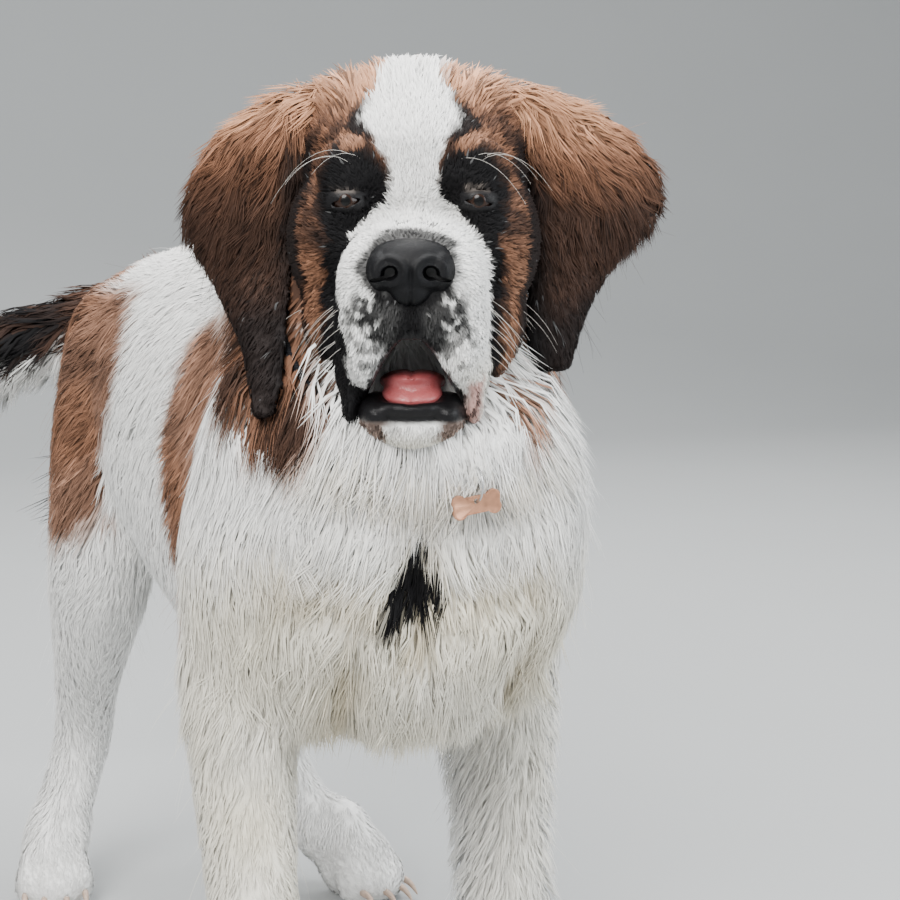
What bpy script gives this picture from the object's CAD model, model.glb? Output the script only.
"""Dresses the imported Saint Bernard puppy: one skin under a coat of tufts, with eyes, nose, tongue, claws,
whiskers, collar and tag. It is laid out as an add-on and run as a script."""

import math

import bmesh
import bpy
import numpy as np
from bpy.props import FloatProperty, FloatVectorProperty, IntProperty, PointerProperty
from mathutils import Matrix, Vector
from mathutils.bvhtree import BVHTree
from mathutils.kdtree import KDTree


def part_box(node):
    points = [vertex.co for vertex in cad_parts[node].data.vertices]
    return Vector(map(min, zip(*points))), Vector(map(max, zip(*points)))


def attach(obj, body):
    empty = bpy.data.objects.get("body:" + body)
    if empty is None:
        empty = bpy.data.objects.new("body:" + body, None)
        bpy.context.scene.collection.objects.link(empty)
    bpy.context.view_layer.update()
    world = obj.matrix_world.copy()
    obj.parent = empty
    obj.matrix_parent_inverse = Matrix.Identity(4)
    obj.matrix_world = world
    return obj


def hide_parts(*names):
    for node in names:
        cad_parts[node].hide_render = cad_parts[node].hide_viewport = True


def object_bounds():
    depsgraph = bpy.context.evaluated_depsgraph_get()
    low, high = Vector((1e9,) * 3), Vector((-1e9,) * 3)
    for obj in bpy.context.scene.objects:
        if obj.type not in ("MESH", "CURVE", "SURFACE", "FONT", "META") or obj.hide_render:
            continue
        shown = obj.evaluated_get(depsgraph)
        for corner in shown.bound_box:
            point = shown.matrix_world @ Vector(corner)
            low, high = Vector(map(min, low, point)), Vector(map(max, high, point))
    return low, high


bl_info = {
    "name": "Saint Bernard puppy",
    "version": (1, 0, 0),
    "blender": (4, 5, 0),
    "location": "View3D > Sidebar > Dog",
    "description": "Skin, coat, face, claws, collar and tag of a long-coated puppy",
    "category": "Object",
}

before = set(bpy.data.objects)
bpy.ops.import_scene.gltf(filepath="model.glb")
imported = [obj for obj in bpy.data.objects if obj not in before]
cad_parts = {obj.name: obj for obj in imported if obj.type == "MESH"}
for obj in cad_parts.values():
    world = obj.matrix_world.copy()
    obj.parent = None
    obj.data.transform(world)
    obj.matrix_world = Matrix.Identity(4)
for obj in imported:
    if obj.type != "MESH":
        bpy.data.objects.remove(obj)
CAD_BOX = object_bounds()


def mm(rows, lengths=5):
    """Rows of millimetres in metres; what follows the lengths in a row, such as an angle, stays as it is."""
    return tuple(tuple(v / 1000 if i < lengths else v for i, v in enumerate(row)) for row in rows)


# The same named shapes as in the part's source, with z up and the body facing -Y
HEAD_YAW = math.radians(-21.6)
SKULL = Vector((0.002, -0.076, 0.675))
RIGHT, LEFT = -1, 1
SIDES = {"right": RIGHT, "left": LEFT}
ACROSS = Vector((1, 0, 0))
UP = Vector((0, 0, 1))

# The trunk from the front of the chest to the rump: y, underside, widest height, topline, half width
TRUNK = mm((
    (-172, 440, 468, 500, 30),
    (-160, 375, 455, 540, 80),
    (-125, 325, 440, 570, 112),
    (-70, 292, 430, 605, 128),
    (10, 280, 430, 635, 134),
    (80, 285, 445, 645, 136),
    (160, 295, 455, 640, 140),
    (250, 315, 465, 631, 138),
    (330, 338, 475, 622, 130),
    (410, 355, 485, 616, 124),
    (470, 370, 490, 607, 118),
    (520, 395, 490, 588, 100),
    (552, 430, 495, 560, 70),
    (566, 465, 500, 530, 30),
))
# Limbs are rows of x, y, z, half width across, half depth fore and aft; x runs outwards from the middle
NECK = mm((
    (0, 60, 500, 120, 120),
    (0, 0, 560, 112, 110),
    (2, -30, 615, 90, 98),
    (2, -45, 670, 72, 82),
))
FORELEG = {
    "right": mm((
        (85, -30, 500, 50, 85),
        (98, -35, 430, 54, 80),
        (101, -10, 340, 47, 60),
        (104, -22, 265, 42, 49),
        (107, -45, 190, 36, 41),
        (109, -60, 130, 36, 40),
        (110, -70, 85, 33, 37),
        (111, -80, 45, 33, 40),
    )),
    "left": mm((
        (85, -10, 500, 50, 85),
        (102, -5, 430, 56, 80),
        (108, 35, 340, 50, 60),
        (110, 35, 265, 44, 50),
        (112, 32, 190, 36, 41),
        (113, 30, 130, 36, 40),
        (113, 22, 85, 33, 37),
        (113, 10, 45, 33, 40),
    )),
}
HINDLEG = {
    "right": mm((
        (70, 430, 520, 62, 95),
        (88, 428, 440, 58, 100),
        (102, 418, 360, 50, 82),
        (104, 455, 280, 42, 58),
        (100, 512, 205, 33, 41),
        (98, 540, 150, 31, 36),
        (112, 540, 100, 30, 33),
        (128, 532, 50, 31, 36),
    )),
    "left": mm((
        (70, 430, 520, 62, 95),
        (94, 400, 440, 60, 98),
        (108, 365, 360, 52, 78),
        (98, 400, 280, 43, 55),
        (78, 455, 205, 33, 40),
        (70, 484, 150, 30, 36),
        (88, 470, 95, 28, 31),
        (112, 446, 48, 29, 34),
    )),
}
TAIL = mm((
    (0, 520, 560, 28, 28),
    (-30, 565, 552, 27, 27),
    (-90, 600, 528, 26, 26),
    (-160, 625, 505, 26, 26),
    (-235, 640, 492, 23, 23),
    (-300, 648, 496, 19, 19),
    (-350, 650, 512, 10, 10),
))
# Paws: side, ankle joint's x outwards, y, toe direction in degrees outwards, width, length
PAWS = {
    "forepaw_right": (RIGHT, 0.111, -0.082, 2.0, 0.084, 0.108),
    "forepaw_left": (LEFT, 0.113, 0.006, 6.0, 0.082, 0.106),
    "hindpaw_right": (RIGHT, 0.133, 0.522, 10.0, 0.074, 0.100),
    "hindpaw_left": (LEFT, 0.128, 0.430, 26.0, 0.073, 0.102),
}
# Each toe's place across the paw and its reach forwards, as shares of width and length
TOES = ((-0.36, 0.30), (-0.13, 0.40), (0.13, 0.40), (0.36, 0.30))

# The head, in its own frame: x to the dog's left, f forwards, z up, from the middle of the skull
EYE = (0.0420, 0.0635, -0.0130)
EYE_RADIUS = 0.0115
LID = 0.0022
NOSE = (0.000, 0.139, -0.052)
# The muzzle from the brow to the nose: f, underside of the lips, widest height, bridge, half width
MUZZLE = mm((
    (20, -115, -60, -10, 50),
    (55, -116, -66, -17, 49),
    (90, -114, -70, -23, 48.5),
    (120, -108, -70, -28, 47.5),
    (137, -98, -68, -33, 43),
    (145, -86, -64, -42, 31),
))
JAW = mm((
    (0, 20, -140, 40, 26),
    (0, -30, -146, 38, 23),
    (0, -70, -150, 35, 20),
    (0, -98, -150, 30, 16),
    (0, -112, -149, 20, 11),
))
# Each ear's leaf from its root down: z, x outwards, f, half length, turn in degrees
EAR = {
    "right": mm((
        (60, 54, -12, 18, 40),
        (47, 82, -16, 34, 36),
        (18, 104, -20, 47, 34),
        (-18, 116, -24, 53, 34),
        (-50, 117, -24, 49, 36),
        (-82, 109, -4, 39, 40),
        (-108, 101, 26, 28, 44),
        (-130, 97, 52, 20, 46),
        (-150, 96, 70, 11, 46),
    ), 4),
    "left": mm((
        (62, 54, -12, 18, 34),
        (49, 80, -14, 32, 28),
        (26, 106, -20, 46, 22),
        (-4, 121, -26, 54, 22),
        (-34, 118, -26, 48, 24),
        (-64, 105, -20, 39, 28),
        (-92, 97, -14, 31, 32),
        (-112, 94, -10, 26, 34),
        (-128, 94, -9, 17, 34),
    ), 4),
}
EAR_LEATHER = 0.0038

COLLAR_CENTRE = Vector((0.0, -0.055, 0.565))
COLLAR_AXIS = Vector((0.0, -0.585, 0.811)).normalized()
COLLAR_FRONT = Vector((0.0, -0.811, -0.585)).normalized()
COLLAR_SHIFT = 0.015
COLLAR_HALF = (0.084, 0.115)
COLLAR_WIDTH = 0.025
COLLAR_THICK = 0.004
TAG_HOLE = Vector((0.0025, -0.184, 0.4745))
TAG_LENGTH = 0.033
TAG_HEIGHT = 0.016
TAG_THICK = 0.0018
TAG_TILT = math.radians(8)
TAG_BORE = 0.0017
RING_RADIUS = 0.0110
RING_WIRE = 0.0008
CLAW_LENGTH = 0.019
CLAW_RADIUS = 0.0034

# Which named form a patch of skin came from
BODY, HEAD, JAWS, EAR_R, EAR_L, BRUSH = range(6)

# How the camera stood: before the dog's right shoulder, at the height of its head, which looks into it
VIEW_FROM = Vector((-0.517, -1.4515, 0.70))
VIEW_TURN = HEAD_YAW
VIEW_PITCH = math.radians(8.02)


# Small tools


def hp(x, f, z):
    return Vector((x, -f, z))


def head_frame():
    return Matrix.Translation(SKULL) @ Matrix.Rotation(HEAD_YAW, 4, "Z")


def middle(node):
    low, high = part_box(node)
    return (low + high) / 2


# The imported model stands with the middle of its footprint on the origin
SHIFT = middle("eye_right") - head_frame() @ hp(-EYE[0], EYE[1], EYE[2])


def linked(name, data):
    """A new object of data in the scene."""
    obj = bpy.data.objects.new(name, data)
    bpy.context.scene.collection.objects.link(obj)
    return obj


def object_of(bm, name):
    mesh = bpy.data.meshes.new(name)
    bm.to_mesh(mesh)
    bm.free()
    return linked(name, mesh)


def closed(bm, name):
    """The object of bm, with its faces turned outwards."""
    bmesh.ops.recalc_face_normals(bm, faces=bm.faces)
    return object_of(bm, name)


def take_evaluated(obj):
    """Applies the modifiers of obj."""
    graph = bpy.context.evaluated_depsgraph_get()
    mesh = bpy.data.meshes.new_from_object(obj.evaluated_get(graph))
    obj.modifiers.clear()
    obj.data = mesh
    return obj


def spline(rows, per_span):
    """A smooth curve through the rows, with per_span points for each stretch between two of them."""
    p = np.array(rows, float)
    p = np.vstack([2 * p[0] - p[1], p, 2 * p[-1] - p[-2]])
    out = []
    for i in range(1, len(p) - 2):
        a, b, c, d = p[i - 1 : i + 3]
        for t in np.arange(per_span) / per_span:
            square = 2 * a - 5 * b + 4 * c - d
            cube = 3 * b - a - 3 * c + d
            out.append(0.5 * (2 * b + (c - a) * t + square * t * t + cube * t**3))
    out.append(p[-2])
    return np.array(out)


def loft(bm, rings):
    """Closes a body round rings of equally many points."""
    loops = [[bm.verts.new(p) for p in ring] for ring in rings]
    count = len(loops[0])
    for a, b in zip(loops, loops[1:]):
        for i in range(count):
            j = (i + 1) % count
            bm.faces.new((a[i], a[j], b[j], b[i]))
    for loop, step in ((loops[0], -1), (loops[-1], 1)):
        hub = bm.verts.new(sum((v.co for v in loop), Vector()) / count)
        for i in range(count):
            pair = (loop[i], loop[(i + 1) % count])[::step]
            bm.faces.new((*pair, hub))


def egg(centre, across, up, half, rise, drop, sides=32, square=1.0):
    """A ring round centre that may rise further than it drops; square above 1 makes its corners fuller."""
    points = []
    for i in range(sides):
        a = math.tau * i / sides
        c, s = math.cos(a), math.sin(a)
        c = math.copysign(abs(c) ** (1 / square), c)
        s = math.copysign(abs(s) ** (1 / square), s)
        points.append(centre + across * (half * c) + up * ((rise if s > 0 else drop) * s))
    return points


def limb(bm, rows, side=1, across=ACROSS, per_span=4, sides=24):
    """A bent, tapering limb through rows of x, y, z, half width, half depth."""
    path = spline(rows, per_span)
    path[:, 0] *= side
    places = [Vector(r[:3]) for r in path]
    rings = []
    for i, row in enumerate(path):
        along = (places[min(i + 1, len(places) - 1)] - places[max(i - 1, 0)]).normalized()
        out = (across - along * across.dot(along)).normalized()
        rings.append(egg(places[i], out, along.cross(out), row[3], row[4], row[4], sides))
    loft(bm, rings)


def ball(bm, centre, radii, turn=(0, 0, 0), segments=28, rings=18):
    angles = [Matrix.Rotation(math.radians(a), 3, axis) for a, axis in zip(turn, "XYZ")]
    frame = Matrix.LocRotScale(Vector(centre), angles[2] @ angles[1] @ angles[0], Vector(radii))
    bmesh.ops.create_uvsphere(bm, u_segments=segments, v_segments=rings, radius=1, matrix=frame)


def melt(bm, name, voxel, smooth):
    """Fuses the overlapping closed forms in bm into one surface and softens the joins."""
    obj = closed(bm, name)
    remesh = obj.modifiers.new("fuse", "REMESH")
    remesh.mode = "VOXEL"
    remesh.voxel_size = voxel
    soften = obj.modifiers.new("soften", "SMOOTH")
    soften.factor = 0.5
    soften.iterations = smooth
    return take_evaluated(obj)


def boolean(obj, others, operation="DIFFERENCE"):
    """Joins or cuts obj with others in one step, and removes them."""
    group = bpy.data.collections.new("operands")
    for other in others:
        group.objects.link(other)
    step = obj.modifiers.new("operation", "BOOLEAN")
    step.operation = operation
    step.operand_type = "COLLECTION"
    step.collection = group
    step.solver = "EXACT"
    take_evaluated(obj)
    for other in others:
        bpy.data.objects.remove(other)
    bpy.data.collections.remove(group)
    return obj


def coordinates(mesh):
    flat = np.empty(len(mesh.vertices) * 3, np.float32)
    mesh.vertices.foreach_get("co", flat)
    return flat.reshape(-1, 3).astype(float)


def put_coordinates(mesh, places):
    mesh.vertices.foreach_set("co", np.asarray(places, np.float32).ravel())
    mesh.update()


def vertex_normals(mesh):
    flat = np.empty(len(mesh.vertices) * 3, np.float32)
    mesh.vertex_normals.foreach_get("vector", flat)
    return flat.reshape(-1, 3).astype(float)


def push(obj, reach, floor=-np.inf):
    """Moves the surface of obj along its normals by reach(places, normals), and no lower than the floor."""
    places, normals = coordinates(obj.data), vertex_normals(obj.data)
    places += normals * reach(places, normals)[:, None]
    places[:, 2] = np.maximum(places[:, 2], floor)
    put_coordinates(obj.data, places)
    return obj


def ramp(value, low, high):
    """Rises smoothly from 0 at low to 1 at high; low may be the larger."""
    t = np.clip((np.asarray(value, float) - low) / (high - low), 0.0, 1.0)
    return t * t * (3 - 2 * t)


def bell(value, width):
    """1 at 0, falling off smoothly over width on both sides."""
    return np.exp(-((value / width) ** 2))


def unit(vectors):
    return vectors / np.maximum(np.linalg.norm(vectors, axis=-1, keepdims=True), 1e-9)


def tangent(vectors, normals):
    """The part of vectors that lies along the surface, at length one."""
    along = vectors - normals * np.sum(vectors * normals, axis=-1, keepdims=True)
    return unit(along)


# Large primes that scatter the corners of the noise's cells
HASH = (73856093, 19349663, 83492791, 2654435761, 40503)


def mottle(places, size, seed=0):
    """Smooth noise from 0 to 1 at places, with features of about the given size in metres."""
    p = np.asarray(places, float) / size + seed * 17.31
    cell = np.floor(p).astype(np.int64)
    t = p - cell
    t = t * t * (3 - 2 * t)
    total = np.zeros(len(p))
    for corner in np.ndindex(2, 2, 2):
        x, y, z = (cell + corner).T * np.array(HASH[:3])[:, None]
        value = (((x ^ y ^ z) * HASH[3] + seed * HASH[4]) & 0xFFFFFF) / 0xFFFFFF
        a, b, c = np.abs(1 - np.array(corner) - t).T
        total += value * (a * b * c)
    return total


HEAD_TURN = np.array(head_frame().to_3x3())


def to_head(places):
    """Places of the model in the head's frame: x, forwards, up."""
    local = (np.asarray(places, float) - np.array(SKULL)) @ HEAD_TURN
    return local[:, 0], -local[:, 1], local[:, 2]


def from_head(x, f, z):
    """A direction in the head's frame, as one of the model."""
    return np.stack(np.broadcast_arrays(x, -np.asarray(f, float), z), axis=-1) @ HEAD_TURN.T


def settle(obj, slot, material, *nodes, smooth=True):
    """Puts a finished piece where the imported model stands, and ties it to the body."""
    obj.data.transform(Matrix.Translation(SHIFT))
    obj.data.materials.clear()
    obj.data.materials.append(material)
    if smooth:
        obj.data.shade_smooth()
    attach(obj, "root")
    if nodes:
        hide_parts(*nodes)
    return obj


# The skin: body, tail, head, jaw and ears, each melted whole and then sunk by the depth of its coat


def trunk(bm):
    rings = []
    for y, low, wide, top, half in spline(TRUNK, 4):
        centre = Vector((0, y, wide))
        rings.append(egg(centre, ACROSS, UP, half, top - wide, wide - low, 40, 1.12))
    loft(bm, rings)


class Paw:
    """Places on one paw: across it, forwards along it and up from the floor."""

    def __init__(self, side, x, y, splay, width, length):
        self.side, self.splay, self.width, self.length = side, splay, width, length
        self.heel = Vector((x * side, y, 0))
        self.turn = Matrix.Rotation(math.radians(splay) * side, 3, "Z")

    def at(self, across, forward, z):
        return self.heel + self.turn @ Vector((across * self.width, -forward * self.length, z))


def paw_balls(bm, paw):
    w, l, yaw = paw.width, paw.length, paw.splay * paw.side
    ball(bm, paw.at(0, 0.02, 0.034), (w * 0.43, l * 0.40, 0.041), (0, 0, yaw))
    ball(bm, paw.at(0, -0.12, 0.060), (w * 0.39, l * 0.34, 0.037), (0, 0, yaw))
    for across, reach in TOES:
        toe = (w * 0.138, l * 0.21, 0.022)
        knuckle = (w * 0.130, l * 0.17, 0.021)
        ball(bm, paw.at(across, reach, 0.021), toe, (0, 0, yaw - across * 60), 18, 12)
        ball(bm, paw.at(across * 0.92, reach - 0.14, 0.035), knuckle, (0, 0, yaw), 18, 12)


def coat_depth(places):
    """How far the skin lies under the outside of the coat."""
    x, y, z = places.T
    trunk_share = ramp(z, 0.30, 0.40)
    chest_share = ramp(y, 0.10, -0.04) * ramp(z, 0.30, 0.38)
    paw_share = ramp(z, 0.085, 0.045)
    depth = 0.0062 + 0.0030 * trunk_share + 0.0015 * chest_share
    return depth * (1 - paw_share) + 0.0030 * paw_share


def chest_creases(places):
    """1 in the hollows of the chest: the groove between its two masses and the folds under them."""
    x, y, z = places.T
    front = ramp(y, -0.02, -0.07)
    groove = bell(x + 0.024, 0.017) * ramp(z, 0.34, 0.38) * ramp(z, 0.470, 0.430)
    fold = 0.402 + 0.9 * np.abs(x + 0.024) ** 1.3 * 0.3
    under = bell(z - fold, 0.016) * ramp(np.abs(x + 0.024), 0.105, 0.075)
    throat = 0.475 + 2.2 * (x + 0.01) ** 2
    bib = 0.7 * bell(z - throat, 0.013) * ramp(np.abs(x + 0.01), 0.10, 0.06)
    legs = 0.9 * bell(np.abs(x) - 0.058 - 0.10 * (z - 0.30), 0.014) * ramp(z, 0.400, 0.345)
    return front * np.clip(np.maximum.reduce([groove, 0.8 * under, bib, legs]), 0, 1)


# The soles' skin stays just above the floor
SOLE = 0.0012


def body_skin(voxel):
    bm = bmesh.new()
    trunk(bm)
    limb(bm, NECK, sides=32)
    ball(bm, (-0.002, -0.105, 0.480), (0.092, 0.066, 0.078))
    for name, side in SIDES.items():
        limb(bm, FORELEG[name], side)
        limb(bm, HINDLEG[name], side)
        step = FORELEG[name][1][1]
        ball(bm, (0.096 * side, step, 0.450), (0.048, 0.078, 0.125), (12, 0, 0))
        ball(bm, (0.086 * side, 0.445, 0.480), (0.046, 0.098, 0.105))
    for values in PAWS.values():
        paw_balls(bm, Paw(*values))
    obj = melt(bm, "body_skin", voxel, 4)
    # Paws stay crisp: only what is above them is softened further
    soften_above(obj, int(round(6.0e-4 / voxel**2)), 0.075, 0.115)
    return push(obj, lambda p, n: -(coat_depth(p) + 0.014 * chest_creases(p)), SOLE)


def soften_above(obj, times, low, high):
    """Smooths the surface in proportion to its height between low and high."""
    group = obj.vertex_groups.new(name="softened")
    places = coordinates(obj.data)
    share = ramp(places[:, 2], low, high)
    for level in range(1, 11):
        chosen = np.nonzero(np.round(share * 10) == level)[0]
        group.add([int(i) for i in chosen], level / 10, "REPLACE")
    soften = obj.modifiers.new("soften", "SMOOTH")
    soften.factor = 0.5
    soften.iterations = times
    soften.vertex_group = group.name
    take_evaluated(obj)
    obj.vertex_groups.clear()


def tail_skin(voxel):
    bm = bmesh.new()
    limb(bm, TAIL, sides=20, across=UP)
    return push(melt(bm, "tail_skin", voxel, 12), lambda p, n: np.full(len(p), -0.0075))


def lid_opening(side):
    """An almond prism through the lids, lower at its outer corner; the left eye is nearly closed."""
    bm = bmesh.new()
    half, rise, drop, points = 0.0090, 0.0023, 0.0030, 40
    if side == LEFT:
        half, rise, drop = 0.0084, 0.0011, 0.0022
    rings = []
    for f in (EYE[1] + 0.001, EYE[1] + 0.040):
        ring = []
        for i in range(points):
            a = math.tau * i / points
            across = half * math.cos(a)
            up = (rise if math.sin(a) > 0 else drop) * math.sin(a) - 0.16 * across - 0.0008
            ring.append(hp((EYE[0] + across) * side, f, EYE[2] + up))
        rings.append(ring)
    loft(bm, rings)
    return closed(bm, "lid_opening")


def mouth_hollow():
    """The arched space behind the lips, from the top of the gape down past the jaw."""
    bm = bmesh.new()
    apex, low, wide, steps = -0.0945, -0.160, 0.0285, 14
    side_line = [((i / steps) ** 0.6 * wide, apex - (i / steps) * 0.040) for i in range(1, steps + 1)]
    profile = [(-0.027, low), (0.027, low)] + side_line[::-1] + [(-x, z) for x, z in side_line]
    rings = []
    for f, grow in ((0.018, 0.55), (0.050, 1.0), (0.110, 1.0), (0.175, 1.15)):
        rings.append([hp(x * grow, f, -0.130 + (z + 0.130) * grow) for x, z in profile])
    loft(bm, rings)
    return closed(bm, "mouth_hollow")


def face_folds(places):
    """Groove, folds and creases of the face, as a shift outwards along the normals."""
    x, f, z = places[:, 0], -places[:, 1], places[:, 2]
    side = np.abs(x)
    front = ramp(f, 0.110, 0.135)
    groove = -0.0022 * bell(x, 0.0018) * front * ramp(z, -0.060, -0.068)
    upper = EYE[2] + 0.0080 - 7.0 * (side - EYE[0]) ** 2
    lid_crease = -0.0016 * bell(z - upper, 0.0013) * ramp(np.abs(side - EYE[0]), 0.017, 0.012)
    lower = EYE[2] - 0.0085 + 9.0 * (side - EYE[0]) ** 2
    bag = -0.0012 * bell(z - lower, 0.0014) * ramp(np.abs(side - EYE[0]), 0.018, 0.012)
    brow = 0.0018 * np.sin((z - 0.030 + 0.3 * side) / 0.0062) * bell(side - 0.022, 0.012)
    brow *= ramp(z, 0.000, 0.010) * ramp(z, 0.040, 0.025) * ramp(f, 0.040, 0.060)
    stop = -0.0030 * bell(x, 0.0100) * bell(z - 0.010, 0.020) * ramp(f, 0.04, 0.06)
    fold = -0.0022 * bell(side - 0.052 - 0.10 * (z + 0.09), 0.0028)
    fold *= ramp(z, -0.040, -0.060) * ramp(z, -0.150, -0.130) * ramp(f, 0.020, 0.050)
    return groove + lid_crease + bag + brow + stop + fold


# Balls of brow, cheek, jowl and lips: x outwards, f, z, three radii, tilt and lean in degrees
CHEEKS = mm((
    (42, -14, 28, 34, 58, 36, 0, 0),
    (34, 54, 6, 29, 21, 24, 0, 0),
    (49, 22, -40, 33, 55, 48, 0, 0),
    (44, 18, -84, 29, 58, 48, 14, 0),
    (31.5, 98, -94, 19.5, 42, 36, 10, 8),
    (36.5, 72, -118, 15, 38, 30, 14, 0),
), 6)
# The corner of the upper lip that hangs beside the jaw
LIP_CORNER = mm(((38.5, 88, -137, 8.5, 20, 16.5, 20, 0),), 6)


def head_skin(voxel):
    bm = bmesh.new()
    ball(bm, hp(0, -0.012, 0.002), (0.076, 0.086, 0.070))
    ball(bm, hp(0, 0.030, 0.012), (0.058, 0.044, 0.048))
    rings = []
    for f, low, wide, top, half in spline(MUZZLE, 5):
        centre = hp(0, f, wide)
        rings.append(egg(centre, ACROSS, UP, half, top - wide, wide - low, 36, 1.25))
    loft(bm, rings)
    for side in (RIGHT, LEFT):
        for x, f, z, *radii, tilt, lean in CHEEKS:
            ball(bm, hp(x * side, f, z), radii, (tilt, lean * side, 0))
        reach = EYE_RADIUS + LID
        ball(bm, hp(EYE[0] * side, EYE[1] - 0.0008, EYE[2]), (reach * 1.15, reach, reach * 1.05))
        x, f, z, *radii, tilt, _ = LIP_CORNER[0]
        ball(bm, hp(x * side, f, z), radii, (tilt, 0, 0))
    ball(bm, hp(0, -0.010, -0.102), (0.056, 0.070, 0.044))
    obj = melt(bm, "head_skin", voxel, int(round(3.6e-5 / voxel**2)))
    push(obj, lambda p, n: face_folds(p) - face_depth(p))
    return boolean(obj, [lid_opening(RIGHT), lid_opening(LEFT), mouth_hollow()])


def face_depth(places):
    """How far the head's skin lies under its coat: least round the eyes, most on the crown."""
    around_eye = np.zeros(len(places))
    for side in (RIGHT, LEFT):
        away = np.linalg.norm(places - np.array(hp(EYE[0] * side, EYE[1], EYE[2])), axis=1)
        around_eye = np.maximum(around_eye, ramp(away, 0.022, 0.014))
    return (0.0022 + 0.0060 * ramp(places[:, 2], 0.020, 0.050)) * (1 - around_eye) + 0.0003 * around_eye


def jaw_skin(voxel):
    bm = bmesh.new()
    limb(bm, JAW, sides=24)
    for side in (RIGHT, LEFT):
        ball(bm, hp(0.0225 * side, 0.088, -0.1445), (0.0125, 0.030, 0.0120))
    ball(bm, hp(0, 0.103, -0.153), (0.021, 0.016, 0.0125))
    rim = [(0.0285, -0.030, -0.1400), (0.0290, -0.060, -0.1400), (0.0270, -0.088, -0.1392),
           (0.0180, -0.1095, -0.1400), (0.0, -0.1165, -0.1408)]
    rim += [(-x, y, z) for x, y, z in rim[-2::-1]]
    limb(bm, [(x, y, z, 0.0042, 0.0042) for x, y, z in rim], across=UP, sides=14)
    return melt(bm, "jaw_skin", voxel, int(round(1.6e-5 / voxel**2)))


def ear_skin(name, side, voxel):
    """A thin hanging flap, its rear edge swung outwards, with a shallow cup on its inner side."""
    bm = bmesh.new()
    rings = []
    for z, x, f, length, turn in spline(EAR[name], 4):
        a = math.radians(turn)
        along = hp(-math.cos(a) * side, math.sin(a), 0)
        through = hp(math.sin(a) * side, math.cos(a), 0)
        half = length - 0.006 * min(1.0, length / 0.03)
        rings.append([])
        for point in egg(hp(x * side, f, z), along, through, half, EAR_LEATHER, EAR_LEATHER, 40):
            reach = (point - hp(x * side, f, z)).dot(along) / max(half, 1e-4)
            rings[-1].append(point + through * (0.007 * (0.5 - reach * reach)))
    loft(bm, rings)
    return melt(bm, "ear_skin_" + name, voxel, 8)


def dog_skin(fine, broad):
    """One object of all the skin, of triangles that know which form they came from."""
    head = [(head_skin(fine), HEAD), (jaw_skin(fine), JAWS)]
    head += [(ear_skin(name, side, fine), EAR_R if side == RIGHT else EAR_L) for name, side in SIDES.items()]
    for obj, _ in head:
        obj.data.transform(head_frame())
    parts = head + [(body_skin(broad), BODY), (tail_skin(broad), BRUSH)]
    whole = bmesh.new()
    zone = whole.faces.layers.int.new("zone")
    for obj, form in parts:
        first = len(whole.faces)
        whole.from_mesh(obj.data)
        whole.faces.ensure_lookup_table()
        for face in whole.faces[first:]:
            face[zone] = form
        bpy.data.objects.remove(obj)
    bmesh.ops.triangulate(whole, faces=whole.faces)
    return object_of(whole, "skin")


def unwrap(obj):
    """Lays the skin out flat, by the turn of its own surface."""
    bpy.context.view_layer.objects.active = obj
    obj.select_set(True)
    bpy.ops.object.mode_set(mode="EDIT")
    bpy.ops.mesh.select_all(action="SELECT")
    bpy.ops.uv.smart_project(angle_limit=math.radians(66), island_margin=0.001)
    bpy.ops.object.mode_set(mode="OBJECT")
    obj.select_set(False)


def corners_and_zones(mesh):
    """The vertex at each corner of the skin's triangles, and the form that each triangle came from."""
    corners = np.empty(len(mesh.loops), np.int32)
    mesh.loops.foreach_get("vertex_index", corners)
    zones = np.empty(len(mesh.polygons), np.int32)
    mesh.attributes["zone"].data.foreach_get("value", zones)
    return corners, zones


class Skin:
    """The skin's arrays, back in the place where the body was designed."""

    def __init__(self, obj):
        mesh = obj.data
        self.points = coordinates(mesh) - np.array(SHIFT)
        self.normals = vertex_normals(mesh)
        corners, self.zone = corners_and_zones(mesh)
        self.faces = corners.reshape(-1, 3)
        flat = np.empty(len(mesh.loops) * 2, np.float32)
        mesh.uv_layers[0].data.foreach_get("uv", flat)
        self.uv = flat.reshape(-1, 3, 2)
        a, b, c = (self.points[self.faces[:, i]] for i in range(3))
        cross = np.cross(b - a, c - a)
        self.area = np.linalg.norm(cross, axis=1) / 2
        self.centre = (a + b + c) / 3
        self.turned = unit(cross)
        self.tree = None

    def grow_tree(self, zones):
        """A search tree of the zones on which the coming tufts lie."""
        chosen = self.faces[np.isin(self.zone, zones)]
        self.tree = BVHTree.FromPolygons(self.points.tolist(), chosen.tolist(), all_triangles=True)

    def nearest(self, places):
        near = np.empty_like(places)
        normals = np.empty_like(places)
        find = self.tree.find_nearest
        for i, place in enumerate(places.tolist()):
            near[i], normals[i] = find(place)[:2]
        return near, normals


# Markings: one set of colours for skin and coat

WHITE = (0.93, 0.92, 0.89)
CREAM = (0.78, 0.70, 0.50)
SHADED = (0.56, 0.47, 0.31)
PALE_TAN = (0.52, 0.265, 0.150)
TAN = (0.34, 0.165, 0.095)
BROWN = (0.165, 0.078, 0.045)
DARK = (0.034, 0.019, 0.014)
BLACK = (0.0060, 0.0056, 0.0062)
PINK = (0.46, 0.20, 0.17)
MOUTH = (0.030, 0.007, 0.007)

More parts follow.
